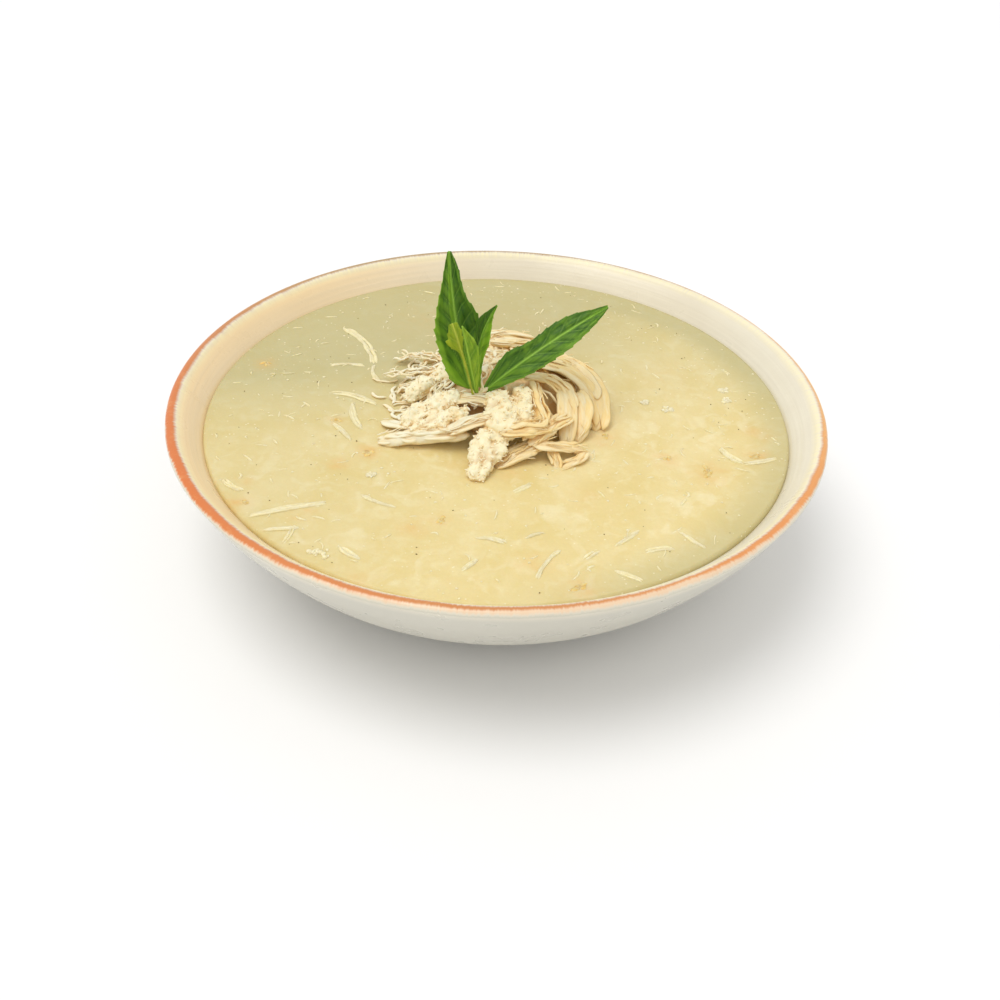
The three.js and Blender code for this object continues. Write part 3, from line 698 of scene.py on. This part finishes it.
def make_specks(random):
    """Ground pepper on the surface."""
    parts = Parts()
    for number, x, y in open_soup(random, PEPPER_GRAINS, 100, 0.04, 6, 34):
        size = random.uniform(0.14, 0.34)
        lump(parts, (x, y, SOUP_LEVEL + 0.1), (size, size * 0.8, size * 0.6), number - 1, 0, 0.3, (3, 5))
    finish = plain_food_finish("pepper", srgb(120, 104, 66), srgb(160, 142, 96), 0.6, 0.0, (1, 1, 1),
                               (0.5, 0.7))
    parts.piece("pepper_specks", finish, "soup")


# The heap of shredded chicken: from, to, arch, bow, width, thickness
CHICKEN_SHREDS = [
    ((-41, -20.5, 1), (-9, -23, 5.5), 0.4, 0.8, 6.5, 5.4),
    ((-41, -8, 1.4), (-11, -24.5, 8), 0.2, -1, 3, 2.6),
    ((-20, -5, 8), (0, -9.5, 10.4), 1, -1, 6, 4),
    ((-17, -23, 6.5), (3, -18, 10.5), 0.8, 0.8, 5, 4),
    ((1, -25, 8.6), (18, -19.5, 7), 1.2, -1.4, 8, 4.6),
    ((12, 1, 12.5), (17, -19, 6), 1.6, -0.8, 5, 4),
    ((8, 2, 14), (30, -12, 3), 3.4, 6, 5, 3.4),
    ((13, 10, 14), (35, -1, 4), 2.6, 4.5, 4.6, 3),
    ((20, 22, 9.5), (34.5, -10, 1.2), 3, 6, 9, 3.6),
    ((21, 4, 11), (24, -20, 1), 2.2, 1.4, 4.6, 3.4),
    ((28, 2, 8.5), (28, -18, 1), 2, 2, 4.6, 3.2),
    ((25, -11, 6.5), (11, -28, 5.5), 0.8, -0.6, 6, 3.4),
    ((12, -26.5, 5.2), (30, -24, 2.4), 0.8, -0.6, 3.6, 2.8),
    ((30, -24.4, 2.6), (22, -32.5, 0.6), 0.6, 1.4, 2.8, 2.4),
    ((18, -24.5, 4), (21, -33, 0.5), 0.4, 0, 2.6, 2.4),
    ((-1, -33, 1), (18, -24, 4), 0.8, 0.8, 8, 3),
    ((15, 12, 14.6), (29, 9, 10), 1.4, 2.6, 3.4, 3),
    ((20, 16, 13), (36, 17, 4), 1.4, 1, 3, 2.6),
    ((-13, 32, 10), (13, 38, 9), 1.4, 1.4, 5, 3.6),
    ((-4, 26, 13.5), (16, 28, 11), 1, -1.6, 4, 3),
    ((-22, 12, 9), (-41, 22, 1.4), 1, 1.6, 3.4, 3),
    ((-20, 20, 8), (-38, 34, 1.2), 1.2, -1.6, 3.2, 2.8),
    ((-30, 22, 3.4), (-18, 39, 3), 1, -1.4, 3.4, 2.8),
    ((-36, 12, 1.4), (-22, 4, 8), 1, 1.2, 4, 3.2),
    ((-24, 38, 3), (-14, 28, 9), 0.6, 1, 3.2, 2.8),
]
# Crumbly chunks of meat across the grain, with the same numbers
CHICKEN_CHUNKS = [
    ((-33, -14, 3), (-13, -8, 11), 0.8, 0.8, 12, 7),
    ((-29, -19, 3.4), (-10, -14, 9.5), 0.6, 0, 9, 6),
    ((-33, 2, 3), (-15, 10, 10), 0.6, 1.5, 9, 6),
    ((-1, -5, 11), (2.5, -27, 7), 1.6, 1, 14, 8),
    ((8, -2, 11.5), (9, -22, 7.5), 1.2, 0, 9, 7),
    ((3, -20, 8.5), (-6, -42, 0.4), 0.4, -1.6, 12, 6.6),
]
# Hollows between the pieces: place, height above the soup, and half sizes
HEAP_HOLLOWS = [
    ((-8, -6, 13), (5.5, 5, 5)),
    ((-5.5, -14, 9), (5.5, 3, 6)),
    ((21, -6.5, 8), (3, 5, 5.5)),
]


def dome_height(x, y):
    """The height of the heap's dome above the soup."""
    off = ((x - HEAP_X) / HEAP_REACH) ** 2 + ((y - HEAP_Y) / HEAP_REACH) ** 2
    return HEAP_UP * np.sqrt(np.maximum(0, 1 - off))


# How far the core stays inside the dome, so that the shreds cover its foot
CORE_INSET = 3


def make_core():
    """The solid middle of the heap, which the shreds lie on."""
    ball, faces = round_grain(60, 110)
    rough = 1.5 * patchy(ball * HEAP_REACH, 5, 51) + 0.8 * patchy(ball * HEAP_REACH, 2.2, 52)
    rough += 0.35 * patchy(ball * HEAP_REACH, 0.9, 53)
    up = np.where(ball[:, 2] > 0, HEAP_UP, 5)
    wide = np.full_like(up, HEAP_REACH - CORE_INSET)
    shape = ball * np.stack([wide, wide, up], axis=-1)
    places = shape + unit(ball) * rough[:, None] + [HEAP_X, HEAP_Y, SOUP_LEVEL]
    # Painted shade: some yellow brown over the whole core under the shreds, and more in and round the
    # hollows.
    deep = np.full(len(places), 0.25)
    for (x, y, height), half in HEAP_HOLLOWS:
        centre = np.array([x, y, SOUP_LEVEL + height])
        off = (places - centre) / half
        flat = (off[:, :2] ** 2).sum(1)
        floor = centre[2] - half[2] * np.sqrt(np.maximum(0, 1 - flat))
        inside = (flat < 1) & (places[:, 2] > floor)
        places[inside, 2] = floor[inside]
        deep[flat < 1.6] = 0.75
    parts = Parts()
    parts.add(places, faces, grain=places * MM / 0.9, warmth=warmth_at(places), deep=deep)
    finish = chicken_finish("meat_core", srgb(250, 232, 188), srgb(246, 216, 150), False, 0.2)
    parts.piece("chicken_core", finish, "chicken", ["chicken_heap"])


def along_path(values, share):
    """Rows of values picked at shares of their length."""
    pick = np.clip(share, 0, 1) * (len(values) - 1)
    steps = np.arange(len(values))
    return np.stack([np.interp(pick, steps, column) for column in values.T], axis=-1)


# How loose a strip of meat is, which picks a value from each row of three in bundle
STRAP, TORN, CURLY = 0, 1, 2


def bundle(parts, fibres, path, width, thick, random, seed, loose):
    """A torn strip of meat: uneven strands round a lumpy flatter body, with loose fibres. A strap
    is the smoothest, and a curly one is threads alone."""
    tangent, across, up = directions(path)
    length = path_length(path)

    def beside(share, aside, lift):
        return (along_path(path, share) + along_path(across, share) * aside[:, None]
                + along_path(up, share) * lift[:, None])

    if loose != CURLY:
        body = (1.0, 0.9)[loose]
        # The flat body gets a slight painted shade.
        strand(parts, path, width * body, thick * body * 0.85, seed, 16, 0.12 + 0.1 * loose, 1.2,
               deep=0.04)
    count = max(2, round(width / (2.4, 1.2, 0.55)[loose]))
    amount = (0.45, 0.9, 1.9)[loose]
    reach = (0.36, 0.5, 0.5)[loose]
    for side in np.linspace(-reach, reach, count):
        side += random.normal(0, 0.07)
        first = random.uniform(0, 0.25) if random.uniform() < 0.6 else 0.01
        last = 1 - (random.uniform(0, 0.3) if random.uniform() < 0.6 else 0.01)
        share = np.linspace(first, last, 26)
        belly = 0.55 + 0.45 * np.sin(np.pi * share) ** 0.6
        key = np.stack([share * length / (5, 4, 2.6)[loose], share * 0 + seed * 1.3,
                        share * 0 + side * 9], -1)
        wander, hop = amount * patchy(key, 1, 61), 0.5 * amount * patchy(key, 1, 62)
        fray = (0.4 + 0.7 * loose) * random.normal() * smooth_step(0.72, 1, np.linspace(0, 1, 26))
        skew = random.normal(0, 1.1) * (share - 0.5)
        aside = side * width * 0.9 * belly + wander + fray + skew
        lift = thick * (0.44 - 1.25 * side * side) * random.uniform((0.75, 0.4, 0.4)[loose], 1.1)
        lift = lift + hop + 0.4 * np.abs(fray)
        wide = random.uniform(*((2.8, 4.6), (0.9, 2.4), (0.5, 1.1))[loose])
        flat = random.uniform(*((0.8, 1.2), (0.7, 1.2), (0.5, 0.8))[loose])
        strand(parts, beside(share, aside, lift), wide, flat, seed + side, 8, (0.1, 0.22, 0.2)[loose])
    for _ in range(int(width * (1.2, 2.4, 1.5)[loose])):
        first = random.uniform(0, 0.85)
        share = np.linspace(first, first + random.uniform(2.5, 9) / length, 10)
        out = np.linspace(0, 1, 10)
        turn = random.uniform(-0.2, np.pi + 0.2)
        key = np.stack([out * 3, out * 0 + seed * 1.3, out * 0 + turn * 9], -1)
        sway, rise = 0.5 * patchy(key, 1, 63), 0.35 * patchy(key, 1, 64)
        aside = np.cos(turn) * width * 0.5 + random.normal(0, 1.3) * out ** 2 + sway
        lift = np.sin(turn) * thick * 0.52 + abs(random.normal(0, 0.8)) * out ** 2 + rise
        beyond = np.clip(share - 1, 0, None) * length
        line = beside(share, aside, lift) + along_path(tangent, share) * beyond[:, None]
        strand(fibres, line, random.uniform(0.25, 0.6), random.uniform(0.2, 0.45), seed + turn, 5, 0.1)


BACK_SHREDS = 66
# The share of the half circle from each shred to the next, which spreads them evenly
GOLDEN_SHARE = 0.618


def back_shreds(random):
    """Shreds that lie round the back of the dome, down to the soup, so that it is a loose pile from
    every side."""
    shreds = []
    for index in range(BACK_SHREDS):
        around = math.radians(15 + 180 * (index * GOLDEN_SHARE % 1))
        out = 0.06 + 0.94 * ((index + random.uniform()) / BACK_SHREDS) ** 0.6
        x, y = HEAP_X + math.cos(around) * HEAP_REACH * out, HEAP_Y + math.sin(around) * HEAP_REACH * out
        lean = around + math.pi / 2 + random.uniform(-1.4, 1.4)
        reach = random.uniform(4, 9)
        ends = []
        for way in (-1, 1):
            ex, ey = x + math.cos(lean) * reach * way, y + math.sin(lean) * reach * way
            ends.append((ex, ey, max(-0.2, float(dome_height(ex, ey)) + 0.4)))
        arch = max(0.4, float(dome_height(x, y)) + 1.4 - (ends[0][2] + ends[1][2]) / 2)
        shreds.append((ends[0], ends[1], arch, random.uniform(-2.4, 2.4), random.uniform(2.2, 4.4),
                       random.uniform(1.8, 2.8)))
    return shreds


def make_chunks(random, crumbs):
    """Rough chunks whose grains stand out, with crumbs on them."""
    parts = Parts()
    for start, end, arch, bow, width, thick in CHICKEN_CHUNKS:
        length = np.linalg.norm(np.subtract(end, start))
        steps, sides = int(length / 0.36), 54
        path = bowed(start, end, arch, bow, steps)
        taper = np.sin(np.pi * np.linspace(0.02, 0.98, steps)) ** 0.35
        half = np.repeat(taper[:, None], sides, 1)
        places, faces = swept(path, half * width / 2 * 0.9, half * thick / 2 * 0.9, sides)
        inward = np.concatenate([np.repeat(path, sides, axis=0), path[:1], path[-1:]])
        away = unit(places - inward)
        away[-2:] = 0
        rough = 1.3 * patchy(places, 5.0, 70) + 0.9 * patchy(places, 2.6, 71)
        rough += 0.7 * patchy(places, 1.4, 72) + 0.45 * patchy(places, 0.8, 73)
        places = places + away * rough[:, None]
        # Painted shade where the rough surface sinks in.
        deep = np.clip(-rough * 0.4 - 0.2, 0, 0.6)
        parts.add(places, faces, grain=places * MM / 0.8, warmth=warmth_at(places) * 0.55, deep=deep)
        tops = np.flatnonzero(away[:, 2] > -0.2)
        for pick in random.choice(tops, int(width * length * 0.3)):
            size = random.uniform(0.25, 0.6)
            lump(crumbs, places[pick] + away[pick] * size * 0.3, (size, size * 0.7, size * 0.6),
                 int(pick) % 97, random.uniform(0, 180), 0.45, (4, 7),
                 warmth=0.4 * random.uniform(), deep=0.0, grain=np.zeros((1, 3)))
        for pick in random.choice(tops, int(width * length * 0.34)):
            way = unit(random.normal(0, 1, 3) + away[pick] * 0.7)
            stub = random.uniform(0.8, 2.4)
            line = places[pick] - away[pick] * 0.2 + way * (np.linspace(-0.3, 0.7, 6) * stub)[:, None]
            line = line + 0.25 * np.stack([patchy(line, 0.9, 74), patchy(line, 0.9, 75),
                                           patchy(line, 0.9, 76)], axis=-1)
            strand(crumbs, line, random.uniform(0.4, 0.9), random.uniform(0.35, 0.7), int(pick) % 89, 6,
                   0.25)
    finish = chicken_finish("meat_chunks", srgb(251, 243, 208), srgb(252, 234, 178), True, 0.16)
    parts.piece("chicken_chunks", finish, "chicken", ["chicken_heap"])


CURLS = 70
STRAY_CURLS = 40


def curls(random, fibres):
    """Curly threads: whitish ones at the heap's back left, on the soup and up the dome's side, and
    a few strays over the whole heap."""
    for index in range(CURLS + STRAY_CURLS):
        stray = index >= CURLS
        around = math.radians(random.uniform(0, 360) if stray else random.uniform(115, 215))
        out = random.uniform(0.2, 0.95) if stray else random.uniform(0.72, 1.4)
        x = HEAP_X - 2 + math.cos(around) * HEAP_REACH * out
        y = HEAP_Y - 2 + math.sin(around) * HEAP_REACH * out * 0.85
        heading, bend = random.uniform(0, 2 * np.pi), random.normal(0, 0.22)
        above = 2.4 if stray else 0.5 + 1.2 * (out < 1)
        points = []
        for _ in range(int(random.uniform(8, 18))):
            lift = above * random.uniform(0.8, 1.2)
            points.append((x, y, SOUP_LEVEL + float(dome_height(x, y)) + lift))
            heading += bend + random.normal(0, 0.2)
            x, y = x + math.cos(heading) * 0.9, y + math.sin(heading) * 0.9
        line = spline(points, 3 * len(points))
        line[:, 2] = np.convolve(np.pad(line[:, 2], 3, "edge"), np.ones(7) / 7, "valid")
        strand(fibres, line, random.uniform(0.7, 1.5), random.uniform(0.6, 1.1), index + 0.5, 7, 0.15)


# Ends of shreds that are lower than this above the soup dip this much further, towards it
LOW_END = 3.2
END_DIP = 1.3


def looseness(x, y):
    """Straps lie on the heap's right, and curly threads at the back left."""
    if x > 19 and y > -12:
        return STRAP
    if x < -20 and y > 4:
        return CURLY
    return TORN


def make_heap(random):
    strands, fibres, crumbs = Parts(), Parts(), Parts()
    for seed, (start, end, arch, bow, width, thick) in enumerate(CHICKEN_SHREDS + back_shreds(random)):
        start, end = (place[:2] + (place[2] - END_DIP * (place[2] < LOW_END),) for place in (start, end))
        middle = np.add(start, end) / 2
        loose = looseness(middle[0], middle[1])
        bundle(strands, fibres, bowed(start, end, arch, bow), width, thick, random, seed, loose)
    make_core()
    make_chunks(random, crumbs)
    curls(random, fibres)
    pale, warm = srgb(246, 240, 210), srgb(248, 219, 152)
    strands.piece("chicken_strands", chicken_finish("meat_strands", pale, warm, False, 0.12), "chicken",
                  ["chicken_heap"])
    fibres.piece("chicken_fibres", chicken_finish("meat_fibres", srgb(247, 243, 216), warm, False, 0.06),
                 "chicken")
    crumbs.piece("chicken_crumbs",
                 chicken_finish("meat_crumbs", srgb(250, 244, 216), srgb(252, 234, 178), True, 0.1),
                 "chicken")


# The sprig. Each leaf: places on its midrib with heights above the soup, which way it faces,
# how it is folded and waved, its teeth, and its half widths to the left and right, in even
# steps from base to tip. Shaded is the painted shade on its left and right halves: how dark each is.
TOOTH_CUT = 0.085
LEAF_COLUMNS = 44
ROWS_PER_TOOTH = 12
LEAVES = {
    "leaf_tall": dict(
        base=(-9.8, -2, 11), through=(-15, 3.2, 32.8), tip=(-17.8, 8, 58.4),
        facing=(0.15, -1, 0.25), fold=0.26, wave=0.5, teeth=9,
        left=(0.6, 5.8, 7.2, 7.9, 8.5, 8.5, 7.3, 5.6, 3.7, 2.3, 0.8),
        right=(0.6, 5, 7, 8.4, 9, 9, 8, 5.2, 3.8, 3, 0.8), pleat=0.6, shaded=(0.0, 0.45)),
    "leaf_right": dict(
        base=(-5.6, -4, 10.8), through=(15.3, 1, 27), tip=(36.9, 9, 38.9),
        facing=(-0.35, -0.8, 0.75), fold=0.18, wave=0.6, teeth=9,
        left=(0.6, 3.2, 5.2, 6, 4.8, 4.5, 5.3, 5.2, 4, 1.9, 0.4),
        right=(0.6, 2.8, 4.3, 5.7, 6.5, 6.9, 7.1, 6.3, 4.9, 3, 0.4), pleat=0.25, shaded=(0.25, 0.1)),
    "leaf_folded": dict(
        base=(-6.6, -2.8, 12), through=(-7, -3.4, 29.2), tip=(-1.3, 1, 42.6),
        facing=(0.4, -1, 0.2), fold=0.5, wave=0.3, teeth=6,
        left=(0.4, 1.2, 1.8, 2.2, 2.6, 3.2, 4, 5, 5.6, 3, 0.4),
        right=(0.4, 1, 1.7, 2.1, 2.7, 3.2, 3.1, 2.6, 1.7, 0.8, 0.4), pleat=0.3, shaded=(0.6, -0.9)),
    "leaf_inner": dict(
        base=(-7.4, -6, 11.4), through=(-10.2, -8.4, 27.4), tip=(-12.6, -8.2, 39.2),
        facing=(0.3, -1, 0.1), fold=0.3, wave=0.2, teeth=5,
        left=(0.5, 1.2, 1.4, 1.4, 1.4, 1.4, 1.2, 0.8, 0.6, 0.4, 0.35),
        right=(0.5, 1.2, 2, 2.7, 3.3, 3.7, 3.9, 3.7, 2.8, 1.4, 0.35), pleat=0.15, shaded=(0.3, 0.0)),
    "leaf_young": dict(
        base=(-8.6, -7.2, 11.4), through=(-12, -13, 30.2), tip=(-15.8, -12.2, 42.4),
        facing=(-0.1, -1, 0.3), fold=0.2, wave=0.2, teeth=6,
        left=(0.4, 0.4, 0.4, 0.4, 0.5, 0.6, 1.7, 4.6, 3.8, 2.7, 1.2),
        right=(0.4, 0.4, 0.4, 0.4, 0.5, 0.5, 0.9, 1.8, 2.5, 2.8, 1.8), pleat=0.12,
        shaded=(0.0, 0.0), cut=0.24),
}
SPRIG_BASE = np.array([-7.4, -4, SOUP_LEVEL + 10])
STEM_RADIUS = 1.3
STEM_LENGTH = 9


def listed_at(values, share):
    """The value at a share of the way along values that are listed in even steps."""
    line = spline([(step, value) for step, value in enumerate(values)], 120)
    return np.interp(share * (len(values) - 1), line[:, 0], line[:, 1])


def make_leaf(name, leaf, material, slot):
    """A thin wavy blade with toothed margins, veins pressed in and cushions between them."""
    base, through, tip = (np.array(leaf[key], float) + [0, 0, SOUP_LEVEL]
                          for key in ("base", "through", "tip"))
    control = 2 * through - (base + tip) / 2
    rows = leaf["teeth"] * ROWS_PER_TOOTH
    along, across = np.meshgrid(np.linspace(0, 1, rows + 1),
                                np.linspace(-1, 1, LEAF_COLUMNS + 1), indexing="ij")
    t = along[..., None]
    midrib = (1 - t) ** 2 * base + 2 * t * (1 - t) * control + t * t * tip
    tangent = unit(2 * (1 - t) * (control - base) + 2 * t * (tip - control))
    facing = unit(np.array(leaf["facing"], float))
    aside = unit(np.cross(tangent, facing))
    outward = np.cross(aside, tangent)
    far = np.abs(across)
    to_tooth = (along * leaf["teeth"] * 1.5) % 1
    tooth = leaf.get("cut", TOOTH_CUT) * (1 - to_tooth ** 2.2)
    tooth *= smooth_step(0.5, 1, far) * smooth_step(0.02, 0.12, along)
    widest = np.where(across < 0, listed_at(leaf["left"], along), listed_at(leaf["right"], along))
    half = widest * (1 - tooth)
    length = np.linalg.norm(tip - base)
    from_rib = far * half
    vein_gap = length / (leaf["teeth"] * 0.8)
    run = (along * length - from_rib * 2.9 + 0.14 * from_rib ** 2) / vein_gap + 0.25 * np.sign(across)
    run = run + 0.3 * patchy(np.stack([across * 1.5, along * 3, 0 * along], -1), 1, 83)
    from_vein = np.abs(run - np.round(run)) * vein_gap
    rib = np.exp(-(from_rib / 0.34) ** 2)
    side_vein = np.exp(-(from_vein / 0.26) ** 2) * smooth_step(1.0, 0.8, far) * (1 - 0.5 * far)
    cushion = 0.34 * np.sin(np.clip(from_vein / vein_gap * 2, 0, 1) * np.pi / 2)
    cushion *= smooth_step(0, 0.3, far) * smooth_step(1, 0.75, far) * min(1, length / 40)
    grain = np.stack([across * 5 + along * 1.5, along * length * 0.06, far * 0], axis=-1)
    ripple = leaf["wave"] * np.sin(along * 9 + across * 1.3) * far
    ripple += 0.25 * patchy(np.stack([across * 3, along * 9, 0 * along], -1), 1, 81) * far
    pleat = leaf["pleat"] * np.sin(across * 6.5 + along * 3) * smooth_step(0, 0.35, far)
    pleat *= np.sin(np.pi * np.clip(along, 0, 1)) ** 0.5
    lift = far * half * math.sin(leaf["fold"]) + ripple + cushion + pleat - 0.3 * rib
    thick = 0.16 + 0.16 * rib
    middle = midrib + aside * (across * half * math.cos(leaf["fold"]))[..., None]
    front = middle + outward * (lift + thick)[..., None]
    back = middle + outward * (lift - thick)[..., None]
    count = (rows + 1) * (LEAF_COLUMNS + 1)
    at = np.arange(count).reshape(rows + 1, LEAF_COLUMNS + 1)
    corners = [at[:-1, :-1], at[:-1, 1:], at[1:, 1:], at[1:, :-1]]
    sheet = np.stack([corner.ravel() for corner in corners], axis=-1)
    rim = np.concatenate([at[0, :-1], at[:-1, -1], at[-1, :0:-1], at[:0:-1, 0]])
    after = np.roll(rim, -1)
    faces = [tuple(face) for face in sheet]
    faces += [tuple(face[::-1] + count) for face in sheet]
    faces += [(b, a, a + count, b + count) for a, b in zip(rim, after)]
    places = np.concatenate([front.reshape(-1, 3), back.reshape(-1, 3)])
    vein = np.clip(rib + 0.5 * side_vein, 0, 1).ravel()
    # Painted light on the pleat ridges, cushions and margins, and painted shade in the vein creases and on
    # the shaded half. A negative shade lightens that half.
    painted_ridge_light = smooth_step(0.1, 0.7, np.sin(across * 6.5 + along * 3)) * leaf["pleat"]
    painted_half_shade = np.where(across < 0, *leaf["shaded"]) * smooth_step(0, 0.15, far)
    light = np.clip(smooth_step(0.35, 0, along) * 0.5 + 0.5 * smooth_step(0.93, 1, far)
                    + 0.3 * smooth_step(0.3, 1, cushion / 0.34) + painted_ridge_light - painted_half_shade, 0, 1).ravel()
    painted_crease_shade = smooth_step(0.3, 0.05, from_vein / vein_gap) * 0.32 + np.maximum(painted_half_shade, 0)
    shadow = np.clip(painted_crease_shade * (1 - 0.6 * painted_ridge_light), 0, 0.9).ravel()
    parts = Parts()
    parts.add(places, faces, vein=np.tile(vein, 2), light=np.tile(light, 2), shadow=np.tile(shadow, 2),
              grain=np.tile(grain.reshape(-1, 3) * MM, (2, 1)))
    parts.piece(name + "_blade", material, slot, [name])


def make_sprig():
    green = leaf_finish("mint_leaf", srgb(50, 90, 20), srgb(90, 131, 30), srgb(138, 180, 48),
                        srgb(152, 194, 78))
    inner = leaf_finish("inner_mint_leaf", srgb(76, 124, 30), srgb(134, 176, 48), srgb(182, 212, 70),
                        srgb(180, 216, 92))
    young = leaf_finish("young_mint_leaf", srgb(110, 140, 22), srgb(139, 160, 30),
                        srgb(170, 186, 46), srgb(192, 202, 84))
    looks = {"leaf_inner": inner, "leaf_young": young}
    for name, leaf in LEAVES.items():
        make_leaf(name, leaf, looks.get(name, green), "young_leaf" if name == "leaf_young" else "leaf")
    up = unit(np.array([-0.1, -0.35, 1]))
    path = SPRIG_BASE + up * np.linspace(1 - STEM_LENGTH, 1, 24)[:, None]
    turn = np.linspace(0, 2 * np.pi, 16, endpoint=False)
    square = 1 - 0.1 * np.cos(4 * turn)
    radius = np.linspace(STEM_RADIUS, STEM_RADIUS * 0.8, 24)[:, None] * square[None]
    radius[[0, -1]] *= 0.6
    places, faces = swept(path, radius, radius, 16, (1, 0, 0))
    parts = Parts()
    parts.add(places, faces, vein=0.0, shadow=0.0, light=0.6, grain=places * MM * [1, 1, 0.15])
    parts.piece("stem_stalk", young, "young_leaf", ["stem"])


# Camera, floor and light
def place_camera():
    distance = CAMERA_REACH * MM
    location = Vector((0, -distance * math.cos(CAMERA_HEIGHT_ANGLE),
                       distance * math.sin(CAMERA_HEIGHT_ANGLE) + AIM_HEIGHT * MM))
    forward = Vector((math.sin(YAW) * math.cos(PITCH), math.cos(YAW) * math.cos(PITCH),
                      -math.sin(PITCH)))
    level = Vector((math.cos(YAW), -math.sin(YAW), 0))
    upright = level.cross(forward)
    right = level * math.cos(ROLL) + upright * math.sin(ROLL)
    up = upright * math.cos(ROLL) - level * math.sin(ROLL)
    data = bpy.data.cameras.new("view")
    data.sensor_width = SENSOR
    data.lens = FOCAL_PIXELS / PICTURE_PIXELS * SENSOR
    camera = bpy.data.objects.new("view", data)
    turned = Matrix((right, up, -forward)).transposed().to_4x4()
    camera.matrix_world = Matrix.Translation(location) @ turned
    bpy.context.scene.collection.objects.link(camera)
    bpy.context.scene.camera = camera


def place_floor():
    """A flat floor in metres, with small faces round the bowl and large ones far out."""
    line = np.concatenate([[-14, -6, -3], np.linspace(-1.6, 1.6, 22), [3, 6, 14]])
    steps = len(line)
    x, y = np.meshgrid(line, line)
    mesh = bpy.data.meshes.new("floor")
    at = np.arange(steps * steps).reshape(steps, steps)
    faces = np.stack([at[:-1, :-1], at[:-1, 1:], at[1:, 1:], at[1:, :-1]], axis=-1).reshape(-1, 4)
    mesh.from_pydata(np.stack([x, y, 0 * x], axis=-1).reshape(-1, 3).tolist(), [], faces.tolist())
    mesh.materials.append(floor_finish())
    floor = bpy.data.objects.new("floor", mesh)
    bpy.context.scene.collection.objects.link(floor)


WORLD_COLOUR = (1.0, 0.995, 0.985, 1)
WORLD_STRENGTH = 0.78
SUN_COLOUR = (1.0, 0.985, 0.965)
SUN_STRENGTH = 1.15
SUN_WIDTH = math.radians(38)
SUN_DIRECTION = (0.28, 0.06, -0.96)


def place_lights():
    """A pale even studio, with one broad soft light from above on the left."""
    world = bpy.data.worlds.new("studio")
    bpy.context.scene.world = world
    world.use_nodes = True
    background = world.node_tree.nodes["Background"]
    background.inputs["Color"].default_value = WORLD_COLOUR
    background.inputs["Strength"].default_value = WORLD_STRENGTH
    data = bpy.data.lights.new("key", "SUN")
    data.energy = SUN_STRENGTH
    data.angle = SUN_WIDTH
    data.color = SUN_COLOUR
    light = bpy.data.objects.new("key", data)
    light.rotation_mode = "QUATERNION"
    light.rotation_quaternion = Vector(SUN_DIRECTION).to_track_quat("-Z", "Y")
    bpy.context.scene.collection.objects.link(light)
    bpy.context.scene.view_settings.view_transform = "Standard"


RANDOM_SEED = 6
random = np.random.default_rng(RANDOM_SEED)
place_camera()
place_floor()
place_lights()
make_bowl()
make_soup()
make_floating(random)
make_lumps(random)
make_carrot(random)
make_specks(random)
make_heap(random)
make_sprig()
